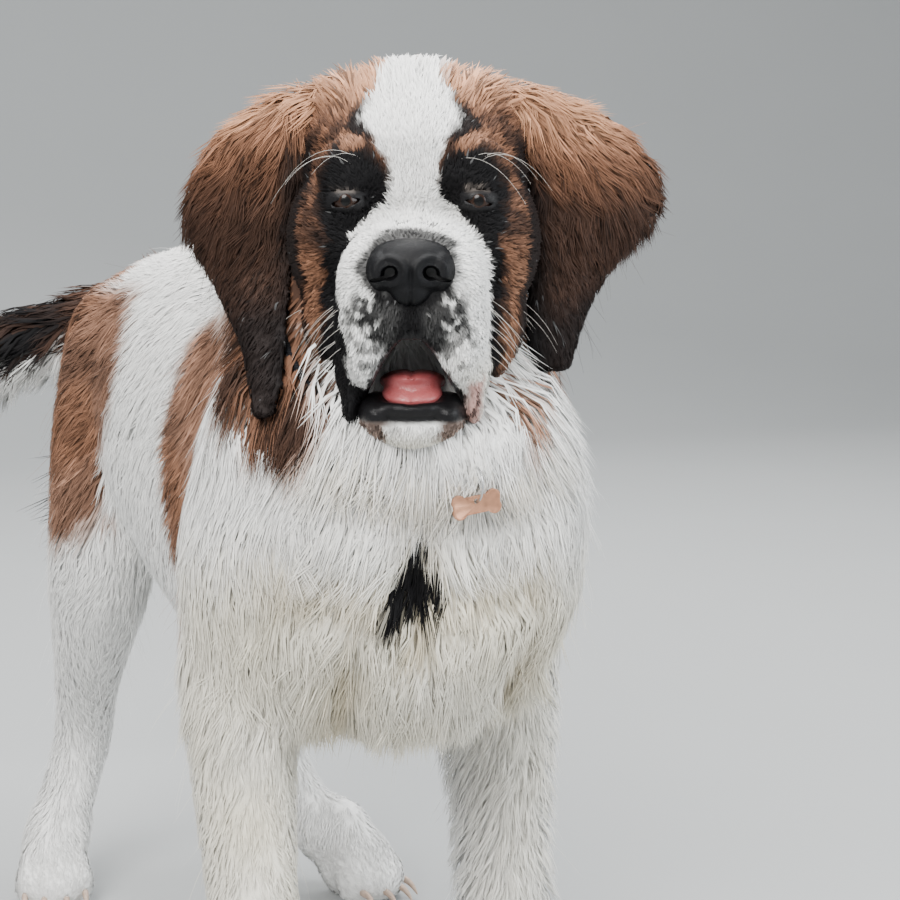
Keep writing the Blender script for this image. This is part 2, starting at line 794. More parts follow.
# The white blaze in the head's frame: z, its right edge, its left edge
BLAZE = (
    (0.090, -0.022, 0.022),
    (0.069, -0.0190, 0.0190),
    (0.050, -0.0297, 0.0275),
    (0.036, -0.0310, 0.0315),
    (0.025, -0.0205, 0.0225),
    (0.014, -0.0145, 0.0165),
    (-0.002, -0.0135, 0.0140),
    (-0.012, -0.0185, 0.0185),
    (-0.020, -0.0290, 0.0290),
    (-0.033, -0.0365, 0.0385),
    (-0.048, -0.0430, 0.0475),
    (-0.070, -0.0435, 0.0515),
    (-0.095, -0.0400, 0.0515),
    (-0.118, -0.0385, 0.0500),
    (-0.150, -0.0380, 0.0460),
)


class Colours:
    """The colours of places, painted one over another."""

    def __init__(self, places, ground):
        self.rgb = np.tile(ground, (len(places), 1)).astype(float)

    def paint(self, colour, share):
        share = np.asarray(share, float)[:, None]
        self.rgb = self.rgb * (1 - share) + np.array(colour) * share


def oval(u, v, centre, radii, lean=0.0, soft=0.35):
    """1 inside an oval in the plane of u and v, fading to 0 over soft of its radius."""
    a = math.radians(lean)
    du, dv = u - centre[0], v - centre[1]
    p = (du * math.cos(a) + dv * math.sin(a)) / radii[0]
    q = (dv * math.cos(a) - du * math.sin(a)) / radii[1]
    return ramp(np.hypot(p, q), 1 + soft / 2, 1 - soft / 2)


def face_marks(places):
    """The white blaze and muzzle, black mask, brown cheeks and brows, and tan crown."""
    x, f, z = to_head(places)
    wobble = (mottle(places, 0.012, 3) - 0.5) * 0.009 + (mottle(places, 0.004, 2) - 0.5) * 0.004
    fine = mottle(places, 0.0030, 5)
    x = x + wobble
    z = z + (mottle(places, 0.008, 4) - 0.5) * 0.005
    side = np.abs(x) + np.maximum(0.0, 0.055 - f) * 0.30
    coat = Colours(places, BROWN)
    coat.paint(PALE_TAN, ramp(z, 0.038, 0.066) * 0.9)
    face = ramp(f, -0.030, 0.000)
    coat.paint(DARK, 0.75 * face * oval(side, z, (0.034, 0.030), (0.013, 0.024)) * ramp(z, 0.058, 0.040))
    smoky = ramp(mottle(places, 0.007, 13), 0.30, 0.70)
    coat.paint(DARK, 0.85 * face * smoky * oval(side, z, (0.060, 0.000), (0.022, 0.045), 0, 0.6))
    coat.paint(BLACK, 0.9 * face * oval(side, z, (0.036, 0.030), (0.010, 0.030), 12, 0.6))
    coat.paint(BLACK, face * oval(side, z, (0.036, -0.008), (0.027, 0.030), 0, 0.65))
    coat.paint(TAN, 0.70 * oval(side, z, (0.040, 0.025), (0.011, 0.0050), 24, 0.6))
    band = ramp(side, 0.0630, 0.0550) * ramp(z, -0.012, -0.024) * face
    coat.paint(BLACK, band)
    cheek = ramp(side, 0.057, 0.063) * ramp(side, 0.076, 0.068) * ramp(z, -0.135, -0.10)
    coat.paint(TAN, 0.35 * cheek * ramp(z, -0.035, -0.065))
    behind = ramp(side, 0.069, 0.077) * ramp(z, 0.040, 0.020) * ramp(f, -0.055, -0.030)
    coat.paint(BLACK, behind * 0.95)
    throat = ramp(z, -0.118, -0.140) * ramp(side, 0.052, 0.060)
    coat.paint(TAN, throat * 0.8)
    rows = np.array(BLAZE)[::-1]
    right_edge = np.interp(z, rows[:, 0], rows[:, 1])
    left_edge = np.interp(z, rows[:, 0], rows[:, 2])
    soft = 0.0016 + 0.002 * ramp(z, -0.03, 0.03)
    inside = ramp(x, right_edge - soft, right_edge + soft) * ramp(x, left_edge + soft, left_edge - soft)
    inside *= ramp(f, -0.060, -0.045) * np.maximum(ramp(f, 0.035, 0.055), ramp(z, -0.01, 0.01))
    coat.paint(WHITE, inside)
    coat.paint(CREAM, 0.35 * inside * ramp(z, -0.10, -0.125) * ramp(x, 0.02, 0.04))
    ground = ramp(f, 0.085, 0.110) * inside
    bed = oval(x, z, (0.0, -0.078), (0.037, 0.027), 0, 0.5) * ground
    mottled = ramp(mottle(places, 0.0042, 8) + 0.60 * (1 - np.abs(x) / 0.034), 0.36, 0.66)
    coat.paint(BLACK, 0.96 * bed * mottled)
    drip = oval(np.abs(x), z, (0.025, -0.103), (0.014, 0.026), -14, 0.7) * ground
    coat.paint(BLACK, 0.70 * drip * ramp(mottle(places, 0.0045, 9), 0.42, 0.60))
    freckle = oval(x, z, (0.0, -0.026), (0.028, 0.008), 0, 0.6) * ramp(f, 0.070, 0.090)
    coat.paint(BLACK, 0.75 * freckle * ramp(mottle(places, 0.0042, 12), 0.66, 0.76))
    around = oval(x, z, (NOSE[0], NOSE[2]), (0.0330, 0.0240), 0, 0.22) * ramp(f, 0.105, 0.120)
    coat.paint(BLACK, 0.92 * around)
    lip_line = ramp(np.abs(x), 0.0120, 0.0030) * ramp(f, 0.12, 0.13) * ramp(z, -0.060, -0.066)
    coat.paint(BLACK, 0.95 * lip_line)
    gape = mouth_distance(x, z)
    rim = ramp(gape, 0.0062, 0.0025) * ramp(f, 0.035, 0.060)
    coat.paint(BLACK, 0.95 * rim)
    lip_corner = oval(side, z, (0.0395, -0.140), (0.014, 0.017), 0, 0.3) * ramp(f, 0.040, 0.060)
    coat.paint(BLACK, lip_corner * ramp(x, 0.025, 0.0))
    coat.paint(PINK, lip_corner * ramp(x, 0.030, 0.036) * ramp(x, 0.047, 0.041) * 0.8)
    slit = bell(x - 0.0395 - 0.10 * (z + 0.14), 0.0013) * lip_corner * ramp(z, -0.130, -0.136)
    coat.paint(BLACK, 0.9 * slit * ramp(x, 0.0, 0.03))
    for side_sign in (RIGHT, LEFT):
        eye = np.hypot(x - EYE[0] * side_sign, (z - EYE[2]) * 1.6)
        coat.paint(BLACK, ramp(eye, 0.0150, 0.0110) * ramp(f, 0.045, 0.055))
        lash = bell(z - EYE[2] - 0.0075, 0.0018) * ramp(np.abs(x - EYE[0] * side_sign), 0.009, 0.005)
        coat.paint((0.20, 0.17, 0.15), 0.55 * lash * ramp(f, 0.05, 0.06))
    return coat.rgb * (0.90 + 0.20 * fine)[:, None]


def mouth_distance(x, z):
    """Roughly how far outside the arch of the open mouth a place is, seen from the front."""
    apex, wide, foot = -0.0945, 0.0285, -0.1345
    across = np.abs(x) / wide
    arch = apex - np.clip(across, 0, 1.2) ** (1 / 0.6) * (apex - foot)
    above = np.maximum(z - arch, 0.0)
    beside = np.where(z < foot, np.maximum(np.abs(x) - wide, 0.0), np.hypot(above, 0) * 0.72)
    return beside


def jaw_marks(places):
    """Black lower lip, a white chin and brown sides."""
    x, f, z = to_head(places)
    fine = mottle(places, 0.004, 15)
    coat = Colours(places, WHITE)
    coat.paint(CREAM, 0.5 * ramp(z, -0.150, -0.166))
    coat.paint(BROWN, ramp(np.abs(x) + (fine - 0.5) * 0.010, 0.012, 0.021) * 0.85)
    coat.paint(DARK, 0.5 * ramp(fine, 0.5, 0.8) * ramp(np.abs(x), 0.010, 0.020))
    coat.paint(DARK, 0.45 * ramp(mottle(places, 0.0022, 16), 0.35, 0.75) * ramp(z, -0.164, -0.152))
    lip = ramp(z, -0.1512, -0.1474)
    coat.paint(BLACK, lip)
    coat.paint(BROWN, ramp(f, 0.070, 0.040) * (1 - lip))
    return coat.rgb


def ear_marks(places):
    """Tan at the root, shading to dark brown below, black at the tips and along the front edge."""
    x, f, z = to_head(places)
    patch = mottle(places, 0.022, 21) - 0.5
    z = z + patch * 0.030
    coat = Colours(places, PALE_TAN)
    coat.paint(TAN, ramp(z, 0.046, 0.024))
    coat.paint(BROWN, ramp(z, 0.036, 0.006))
    coat.paint(DARK, 0.90 * ramp(z, 0.018, -0.028))
    coat.paint(BLACK, 0.80 * ramp(z, -0.060, -0.105))
    front = ramp(np.abs(x), 0.098, 0.078) * ramp(z, 0.035, 0.010)
    coat.paint(BLACK, 0.85 * front)
    return coat.rgb


def body_marks(places):
    """White, with patches on neck, shoulder and haunch, and a dark spot on the chest."""
    x, y, z = places.T
    edge = (mottle(places, 0.045, 31) - 0.5) * 0.034 + (mottle(places, 0.014, 32) - 0.5) * 0.012
    u, v = y + edge, z + edge * 0.6
    right, left = ramp(x, -0.02, -0.06), ramp(x, 0.02, 0.06)
    coat = Colours(places, WHITE)
    warm = ramp(z, 0.47, 0.38) * ramp(y, 0.05, -0.05) * (0.4 + 0.6 * mottle(places, 0.05, 33))
    warm = np.maximum(warm, 0.6 * ramp(z, 0.36, 0.30) * ramp(np.abs(x), 0.075, 0.045) * ramp(z, 0.26, 0.30))
    coat.paint(CREAM, 0.80 * warm)
    coat.paint(SHADED, 0.75 * chest_creases(places))
    patches = [
        (oval(u, v, (-0.062, 0.545), (0.078, 0.024), 36) * ramp(x, -0.050, -0.080), 0.9),
        (oval(u, v, (-0.020, 0.630), (0.080, 0.040), 30) * ramp(np.abs(x), 0.030, 0.060), 0.8),
        (oval(0.930 * x - 0.368 * y, z, (0.105, 0.536), (0.009, 0.034), -12) * ramp(x, 0.020, 0.030), 0.0),
        (oval(u, v, (0.034, 0.500), (0.052, 0.085), 12) * right * ramp(v, 0.390, 0.420), 0.35),
        (oval(u, v, (0.045, 0.415), (0.034, 0.070), -20) * right, 0.30),
        (oval(u, v, (0.400, 0.500), (0.150, 0.078), -12) * ramp(x, -0.040, -0.080), 0.45),
        (oval(u, v, (0.390, 0.420), (0.058, 0.075), 20) * ramp(x, -0.060, -0.090), 0.35),
        (oval(u, v, (0.500, 0.560), (0.070, 0.050)) * ramp(z, 0.47, 0.52), 0.45),
        (oval(u, v, (0.200, 0.560), (0.095, 0.065), 8) * left, 0.45),
        (oval(u, v, (0.455, 0.470), (0.085, 0.080)) * left, 0.40),
        (oval(u, v, (-0.030, 0.560), (0.050, 0.026), 30) * left, 0.25),
        (oval(x, y, (-0.080, 0.437), (0.018, 0.022)) * ramp(z, 0.57, 0.585), 0.0),
    ]
    for share, depth in patches:
        coat.paint(TAN, share * 0.95)
        core = ramp(share, 0.75, 1.0) * depth
        coat.paint(BROWN, core)
        coat.paint(DARK, core * ramp(mottle(places, 0.030, 35), 0.42, 0.62))
    drop = ramp(z, 0.372, 0.400) * 0.006 + 0.0135 * ramp(z, 0.350, 0.385) * ramp(z, 0.445, 0.400)
    spot = ramp(np.abs(x + 0.028 - 0.10 * (z - 0.405) + edge * 0.10), drop + 0.0025, drop - 0.001)
    spot = spot * ramp(y, -0.09, -0.12) * ramp(z, 0.376, 0.386) * ramp(z, 0.452, 0.444)
    coat.paint(BLACK, spot)
    return coat.rgb


def brush_marks(places, normals):
    """The tail: black above, brown near its root, white below and at the tip."""
    x = places[:, 0]
    edge = (mottle(places, 0.020, 41) - 0.5) * 0.5
    coat = Colours(places, WHITE)
    upper = ramp(normals[:, 2] + edge, -0.45, 0.05) * ramp(x + edge * 0.05, -0.275, -0.235)
    coat.paint(DARK, upper)
    coat.paint(BLACK, upper * ramp(mottle(places, 0.012, 42), 0.3, 0.6))
    coat.paint(BROWN, 0.55 * ramp(x, -0.12, -0.04) * ramp(normals[:, 2] + edge, -0.9, -0.4))
    return coat.rgb


def marks(places, normals, zones):
    """The colour of the coat at places on the forms that zones name."""
    colours = np.empty((len(places), 3))
    plans = {BODY: body_marks, HEAD: face_marks, JAWS: jaw_marks, EAR_R: ear_marks, EAR_L: ear_marks,
             BRUSH: brush_marks}
    for form, plan in plans.items():
        chosen = zones == form
        if chosen.any():
            given = (places[chosen], normals[chosen]) if form == BRUSH else (places[chosen],)
            colours[chosen] = plan(*given)
    return colours


# The coat: closed, tapered, bent tufts rooted in the skin

# The width of the finest tufts; longer ones are wider
TUFT_THIN = 0.0008


def head_coat(places, _):
    """Short and flat on the muzzle, longer on cheeks and crown; it lies away from the nose."""
    x, f, z = to_head(places)
    side = np.sign(x)
    crown = ramp(z, 0.030, 0.055) * ramp(np.abs(x), 0.018, 0.034) * ramp(f, 0.060, 0.030)
    rear = ramp(f, 0.020, -0.030)
    cheek = ramp(f, 0.070, 0.030) * ramp(z, 0.020, -0.030)
    away = np.stack([x, f - 0.150, z + 0.045], axis=1)
    jowl = ramp(f, 0.030, -0.010) * ramp(z, -0.060, -0.095)
    away[:, 2] -= 0.05 * ramp(z, -0.050, -0.090) + 0.10 * rear + 0.22 * jowl
    away = unit(away)
    lie = from_head(away[:, 0] + 0.8 * crown * side, away[:, 1] - 0.2 * crown, away[:, 2] + 0.5 * crown)
    length = 0.0046 + 0.0030 * ramp(f, 0.100, 0.060) + 0.008 * cheek + 0.022 * crown
    length += 0.016 * rear * (1 - crown) + 0.011 * jowl
    length += 0.012 * ramp(z, -0.110, -0.140) * ramp(f, 0.075, 0.050)
    top = ramp(z, 0.044, 0.062) * ramp(f, 0.065, 0.035) * ramp(f, -0.07, -0.04)
    length += 0.013 * top * (1 - crown)
    lift = 0.22 + 0.40 * crown + 0.10 * rear + 0.50 * top * (1 - crown)
    return {"lie": lie, "length": length, "lift": lift, "width": TUFT_THIN + 0.060 * length, "clump": 0.25,
            "free": 0.35 * crown + 0.20 * jowl, "droop": 0.10 * crown + 0.15 * jowl,
            "wave": 0.05 + 0.05 * crown}


def head_density(places):
    front = to_head(places)[1]
    return 330000 * ramp(front, 0.000, 0.030) + 130000 * ramp(front, 0.030, 0.000)


def ear_coat(places, normals):
    """Long, wavy and standing out above, short and smooth at the tip and on the inner side."""
    x, f, z = to_head(places)
    side = np.sign(x)
    way = unit(np.stack([x - 0.052 * side, f + 0.004, z - 0.074], axis=1)) - np.array([0.0, 0.10, 0.25])
    lie = from_head(way[:, 0], way[:, 1], way[:, 2])
    outward = np.sum(normals * from_head(side, 0.30, 0.0), axis=1)
    outer = ramp(outward, -0.35, 0.10)
    tip = ramp(z, -0.075, -0.125)
    long = ramp(z, -0.070, -0.010)
    length = (0.013 + 0.021 * long) * outer + 0.010 * (1 - outer)
    lie = lie + from_noise(places, 0.030, 55) * (0.9 * long)[:, None]
    return {"lie": lie, "length": length, "lift": 0.17 + 0.15 * outer * long, "droop": 0.20, "clump": 0.42,
            "width": TUFT_THIN + 0.034 * length, "free": 0.50 * long * (1 - tip),
            "wave": 0.10 * outer * long + 0.02}


def even_density(tufts):
    """The same number of tufts on every square metre."""
    return lambda places: np.full(len(places), tufts)


def over_band(places):
    """How far places lie above the collar's middle, along its axis."""
    return (places - np.array(COLLAR_CENTRE)) @ np.array(COLLAR_AXIS)


def body_coat(places, normals):
    """Back and down along the trunk, down the chest and legs, longest on ruff, chest and breeches."""
    x, y, z = places.T
    side = np.sign(x)
    above = over_band(places)
    ruff = ramp(above, -0.015, 0.030) * ramp(z, 0.48, 0.52)
    chest = ramp(y, 0.045, -0.060) * ramp(z, 0.285, 0.36)
    leg = ramp(z, 0.345, 0.275)
    paw = ramp(z, 0.075, 0.040)
    belly = ramp(normals[:, 2], -0.25, -0.75) * ramp(z, 0.27, 0.31)
    rear = ramp(normals[:, 1], 0.35, 0.80)
    back = np.stack([0.25 * x, np.ones(len(x)), -0.75 * np.abs(normals[:, 0]) - 0.15], axis=1)
    back[:, 2] -= 0.5 * ramp(z, 0.52, 0.42)
    down = np.stack([x * 1.6 + 0.06 * side, 0.30 * ramp(y, -0.10, 0.05), -np.ones(len(x))], axis=1)
    legs_down = np.stack([0.0 * x, 0.18 + 0.35 * rear, -np.ones(len(x))], axis=1)
    forward = np.array([[0.0, -1.0, -0.30]])
    lie = back
    for way, share in ((down, np.maximum(chest, ruff)), (legs_down, leg), (forward, paw)):
        lie = lie * (1 - share[:, None]) + way * share[:, None]
    length = 0.042 + 0.016 * chest + 0.012 * ruff + 0.010 * belly
    haunch = ramp(y, 0.30, 0.45) * rear
    length += 0.022 * haunch * ramp(z, 0.28, 0.34)
    thick_leg = ramp(x, 0.02, 0.05) * ramp(y, 0.15, 0.05)
    leg_length = 0.020 + 0.018 * rear * ramp(z, 0.10, 0.22) + 0.007 * thick_leg * ramp(z, 0.08, 0.16)
    length = length * (1 - leg) + leg_length * leg
    length = length * (1 - paw) + 0.0095 * paw
    lie = lie + from_noise(places, 0.055, 51) * (0.70 * (1 - paw) * (1 - 0.5 * leg))[:, None]
    lie = lie + from_noise(places, 0.014, 56) * (0.60 * (1 - 0.6 * paw))[:, None]
    lift = 0.115 + 0.025 * chest + 0.05 * ruff + 0.03 * leg + 0.26 * leg * thick_leg
    free = 0.75 * belly + 0.50 * haunch + 0.15 * chest + 0.35 * leg * rear
    return {"lie": lie, "length": length, "lift": lift, "width": TUFT_THIN + 0.022 * length,
            "free": np.clip(free, 0, 0.85), "droop": 0.25 + 0.25 * belly, "wave": 0.05 + 0.02 * chest,
            "clump": 0.30 - 0.10 * paw}


def from_noise(places, size, seed):
    """A direction that wanders smoothly over the coat."""
    return np.stack([mottle(places, size, seed + axis) - 0.5 for axis in range(3)], axis=1)


# How far tufts stay from the ring, and the share of the collar's radius from which it lifts them
RING_CLEAR = 0.0165
COLLAR_INSIDE = 0.75


def over_collar(lines):
    """Lifts the tufts that would pass through the collar or its ring, so that the ruff hides them."""
    hub = np.array(COLLAR_CENTRE + COLLAR_FRONT * COLLAR_SHIFT)
    frame = np.array([ACROSS, COLLAR_FRONT, COLLAR_AXIS])
    half = np.array(COLLAR_HALF) + COLLAR_THICK
    ring = np.array(ring_centre())
    top = hub + np.array(COLLAR_FRONT) * half[1]
    for line in lines[1:]:
        local = (line - hub) @ frame.T
        ratio = np.hypot(local[:, 0] / half[0], local[:, 1] / half[1])
        wanted = 0.80 + 0.235 * ramp(np.abs(local[:, 2]), 0.055, 0.018)
        under = (ratio > COLLAR_INSIDE) & (ratio < wanted)
        local[under, :2] *= (wanted[under] / ratio[under])[:, None]
        line[under] = (local @ frame + hub)[under]
        share = np.clip((line - ring) @ (top - ring) / np.sum((top - ring) ** 2), 0, 1)
        closest = ring + share[:, None] * (top - ring)
        away = line - closest + np.array([0, -0.008, 0])
        near = np.linalg.norm(away, axis=1)
        inside = near < RING_CLEAR
        line[inside] = (closest + away / near[:, None] * RING_CLEAR)[inside]


def body_density(places):
    x, y, z = places.T
    front = ramp(y, 0.20, 0.06)
    above = over_band(places)
    collar = ramp(above, -0.01, 0.01) * ramp(above, 0.06, 0.03)
    bib = ramp(np.abs(x), 0.035, 0.020) * ramp(y, -0.10, -0.14) * ramp(z, 0.46, 0.49)
    trunk_share = 55000 + 31000 * front * ramp(z, 0.30, 0.34) + 34000 * collar + 70000 * bib
    return trunk_share + 19000 * ramp(z, 0.30, 0.24) + 60000 * ramp(z, 0.09, 0.05)


def brush_coat(places, normals):
    """Plumes that leave the tail backwards and hang below it."""
    path = spline(TAIL, 8)[:, :3]
    gaps = np.linalg.norm(places[:, None] - path[None], axis=2)
    nearest = np.clip(gaps.argmin(axis=1), 1, len(path) - 2)
    along = unit(path[nearest + 1] - path[nearest - 1])
    lie = along + normals * 0.25 + np.array([0.0, 0.0, -0.30])
    share = nearest / len(path)
    length = 0.036 + 0.026 * ramp(share, 0.10, 0.40) - 0.016 * ramp(share, 0.80, 1.0)
    low = ramp(normals[:, 2], 0.2, -0.7)
    return {"lie": lie, "length": length + 0.012 * low, "lift": 0.34, "width": 0.0012 + 0.040 * length,
            "free": 0.80, "droop": 0.22 + 0.15 * low, "wave": 0.10, "clump": 0.62}


class Patch:
    """One coat piece: the skin that it grows on, how its hair lies and how dense it stands."""

    def __init__(self, name, zones, coat, density, within, rings=2, tips=2, inside=(), clear_of=()):
        self.name, self.zones, self.coat, self.density, self.within = name, zones, coat, density, within
        self.rings, self.tips, self.inside, self.clear_of = rings, tips, inside, clear_of


def anywhere(p):
    return np.ones(len(p), bool)


def is_leg(p):
    return (p[:, 2] < 0.330) & (np.abs(p[:, 0]) > 0.045)


def is_chest(p):
    return (p[:, 1] < 0.200) & ~is_leg(p)


def halves(stem, zones, coat, density, within, across=lambda p: p[:, 0], **more):
    """The right and the left patch of a form."""
    return (Patch(stem + "_right", zones, coat, density, lambda p: within(p) & (across(p) < 0), **more),
            Patch(stem + "_left", zones, coat, density, lambda p: within(p) & (across(p) >= 0), **more))


PATCHES = (
    *halves("coat_face", (HEAD, JAWS), head_coat, head_density, anywhere, lambda p: to_head(p)[0], tips=1,
            inside=(BODY,)),
    Patch("coat_ear_right", (EAR_R,), ear_coat, even_density(235000.0), anywhere, inside=(HEAD,)),
    Patch("coat_ear_left", (EAR_L,), ear_coat, even_density(235000.0), anywhere, inside=(HEAD,)),
    *halves("coat_chest", (BODY,), body_coat, body_density, is_chest, inside=(HEAD,),
            clear_of=(EAR_R, EAR_L)),
    *halves("coat_flank", (BODY,), body_coat, body_density, lambda p: ~is_chest(p) & ~is_leg(p)),
    Patch("coat_forelegs", (BODY,), body_coat, body_density, lambda p: is_leg(p) & (p[:, 1] < 0.2)),
    Patch("coat_hindlegs", (BODY,), body_coat, body_density, lambda p: is_leg(p) & (p[:, 1] >= 0.2)),
    Patch("coat_tail", (BRUSH,), brush_coat, even_density(100000.0), anywhere, rings=3),
)
# By the number of rings: where they lie along the tuft, and how wide they are beside its full width
TUFT_STEPS = {2: (0.0, 0.46), 3: (0.0, 0.34, 0.66)}
TUFT_WIDTH = {2: (0.80, 1.0), 3: (0.75, 1.0, 0.80)}
# How high a tuft's ridge is beside its half width
TUFT_RISE = 0.38
# How far the normals at a tuft's edges lean outwards
ROUNDING = 0.40
# The size of a tuft's patch on the unwrap, and the room that the coat has round the solids' box
PATCH_ACROSS = 0.003
ROOM = 0.010
# How deep a root lies in its skin, and how far tufts stay from the ears that hang over them
ROOT_DEEP = 0.0018
EAR_CLEAR = 0.0045
# A root lies in another form when it is this far under its surface, and no farther than this from it
UNDER, NEARBY = -0.004, 0.030


def sow(skin, patch, thickness, rng):
    """Roots spread over the patch: place, normal, unwrapped place and form of each."""
    grows = np.isin(skin.zone, patch.zones) & patch.within(skin.centre)
    weight = skin.area * patch.density(skin.centre) * grows * thickness
    running = np.cumsum(weight)
    count = int(running[-1])
    draw = (np.arange(count) + rng.random(count)) / count * running[-1]
    face = np.minimum(np.searchsorted(running, draw), len(running) - 1)
    a, b = rng.random(count), rng.random(count)
    fold = a + b > 1
    a[fold], b[fold] = 1 - a[fold], 1 - b[fold]
    share = np.stack([1 - a - b, a, b], axis=1)[:, :, None]
    places = (skin.points[skin.faces[face]] * share).sum(axis=1)
    normals = unit((skin.normals[skin.faces[face]] * share).sum(axis=1))
    flat = (skin.uv[face] * share).sum(axis=1)
    zone = skin.zone[face]
    keep = hairy_places(places, zone)
    if patch.inside:
        skin.grow_tree(patch.inside)
        near, out = skin.nearest(places)
        under = np.sum((places - near) * out, axis=1)
        keep &= ~((under < UNDER) & (np.linalg.norm(places - near, axis=1) < NEARBY))
    return places[keep], normals[keep], flat[keep], zone[keep]


def hairy_places(places, zone):
    """False where no hair grows: lids, lips, inside the mouth and under the nose leather."""
    x, f, z = to_head(places)
    keep = np.ones(len(places), bool)
    on_head = (zone == HEAD) | (zone == JAWS)
    for side in (RIGHT, LEFT):
        eye = np.hypot((x - EYE[0] * side) * 0.80, (z - EYE[2]) * 1.5)
        keep &= ~(on_head & (eye < 0.0088) & (f > 0.04))
    gape = mouth_distance(x, z)
    keep &= ~((zone == HEAD) & (gape < 0.0042) & (f > 0.015) & (z > -0.150))
    under_nose = np.hypot(x / 0.0265, (z - NOSE[2]) / 0.0185) < 0.95
    keep &= ~(on_head & under_nose & (f > 0.120))
    keep &= ~((zone == JAWS) & (z > -0.1490))
    keep &= ~(places[:, 2] < 0.004)
    return keep


def comb(skin, patch, places, normals, rng):
    """Centre lines of the tufts, drawn along the skin and hanging free where they are long."""
    coat = patch.coat(places, normals)
    count = len(places)
    values = {key: np.broadcast_to(value, (count,)) for key, value in coat.items() if key != "lie"}
    steps = TUFT_STEPS[patch.rings] + (1.0,)
    length = values["length"] * rng.uniform(0.78, 1.18, count)
    lift = values["lift"] * rng.uniform(0.6, 1.4, count)
    lie = unit(coat["lie"]) + rng.normal(0, 0.17, (count, 3))
    way = tangent(lie, normals)
    skin.grow_tree(patch.zones)
    flat = places.copy()
    loose = unit(way + normals * (lift * 1.3)[:, None])
    lines = [places - normals * ROOT_DEEP]
    tops = [normals]
    hanging = lines[0]
    for before, after in zip(steps, steps[1:]):
        stride = (length * (after - before))[:, None]
        near, out = skin.nearest(flat + way * stride)
        way = tangent(way, out)
        hug = near + out * (length * lift * after**0.8 + 0.0006)[:, None]
        loose = unit(loose - np.array([0, 0, 1.0]) * (values["droop"] * after * 0.8)[:, None])
        hanging = hanging + loose * stride
        free = (values["free"] * after)[:, None]
        lines.append(hug * (1 - free) + hanging * free)
        tops.append(unit(out * (1 - free) + normals * free))
        flat = near
    lines, tops = np.array(lines), np.array(tops)
    if BODY in patch.zones:
        over_collar(lines)
    gather(lines, values["clump"], np.array(steps), length, rng)
    ripple(lines, tops, values["wave"] * length, np.array(steps), rng)
    return lines, tops, values["width"] * rng.uniform(0.75, 1.3, count)


def is_clear(skin, patch, lines):
    """True for the tufts that stay out of the flaps which hang over them."""
    skin.grow_tree(patch.clear_of)
    free = np.ones(lines.shape[1], bool)
    for line in lines:
        near, _ = skin.nearest(line)
        free &= np.linalg.norm(line - near, axis=1) > EAR_CLEAR
    return free


def gather(lines, clump, steps, length, rng):
    """Draws the tips of neighbouring tufts together into locks."""
    count = lines.shape[1]
    guides = rng.choice(count, max(1, count // 11), replace=False)
    tree = KDTree(len(guides))
    for i, place in enumerate(lines[0][guides].tolist()):
        tree.insert(place, i)
    tree.balance()
    owner = np.array([tree.find(place)[1] for place in lines[0].tolist()])
    leader = guides[owner]
    reach = np.linalg.norm(lines[0] - lines[0][leader], axis=1)
    pull = clump * ramp(reach, length * 0.9, length * 0.3)
    for k, t in enumerate(steps):
        share = (pull * t**1.3)[:, None]
        lines[k] += (lines[k][leader] - lines[k]) * share


def ripple(lines, tops, height, steps, rng):
    """Bends the tufts from side to side, neighbours much alike."""
    swing = mottle(lines[0], 0.016, 61) * math.tau * 1.6
    along = unit(lines[-1] - lines[0])
    across = unit(np.cross(tops[0], along))
    for k, t in enumerate(steps):
        lines[k] += across * (height * t * np.sin(swing + t * 4.5))[:, None]
        lines[k] += tops[0] * (0.3 * height * t * np.cos(swing * 1.3 + t * 5.0))[:, None]


def inside_box(points):
    """Points held within the solids' box and a little room round it, above the floor."""
    low = np.array(CAD_BOX[0]) - np.array(SHIFT) - ROOM
    high = np.array(CAD_BOX[1]) - np.array(SHIFT) + ROOM
    low[2] = 0.0010
    return np.clip(points, low, high)


def tuft_faces(rings, tips):
    """One tuft's faces: base, sides, and one tip or two that part from the last ring."""
    faces = [(0, 2, 1)]
    for k in range(rings - 1):
        for j in range(3):
            n = (j + 1) % 3
            faces.append((3 * k + j, 3 * k + n, 3 * k + 3 + n, 3 * k + 3 + j))
    a, b, c = range(3 * rings - 3, 3 * rings)
    if tips == 1:
        return faces + [(a, b, 3 * rings), (b, c, 3 * rings), (c, a, 3 * rings)]
    fork, one, two = range(3 * rings, 3 * rings + 3)
    before, last, left, right = faces.pop()
    faces.append((before, last, left, fork, right))
    faces += [(a, b, one), (b, fork, one), (fork, a, one)]
    return faces + [(b, c, two), (c, fork, two), (fork, b, two)]


def weave_mesh(name, points, faces):
    """A mesh of many like pieces: points is pieces by corners by 3, and faces the pattern of each."""
    pieces, corners = points.shape[:2]
    sizes = np.array([len(face) for face in faces])
    pattern = np.concatenate([np.array(face) for face in faces])
    loops = (np.arange(pieces)[:, None] * corners + pattern[None]).ravel()
    totals = np.tile(sizes, pieces)
    mesh = bpy.data.meshes.new(name)
    mesh.vertices.add(pieces * corners)
    mesh.vertices.foreach_set("co", points.astype(np.float32).ravel())
    mesh.loops.add(len(loops))
    mesh.loops.foreach_set("vertex_index", loops.astype(np.int32))
    mesh.polygons.add(len(totals))
    mesh.polygons.foreach_set("loop_start", (np.cumsum(totals) - totals).astype(np.int32))
    mesh.update(calc_edges=True)
    return linked(name, mesh), loops


def put_colours(mesh, colours):
    layer = mesh.color_attributes.new("coat", "FLOAT_COLOR", "POINT")
    full = np.concatenate([colours, np.ones((len(colours), 1))], axis=1)
    layer.data.foreach_set("color", full.astype(np.float32).ravel())


def put_vectors(mesh, name, vectors):
    layer = mesh.attributes.new(name, "FLOAT_VECTOR", "POINT")
    layer.data.foreach_set("vector", vectors.astype(np.float32).ravel())


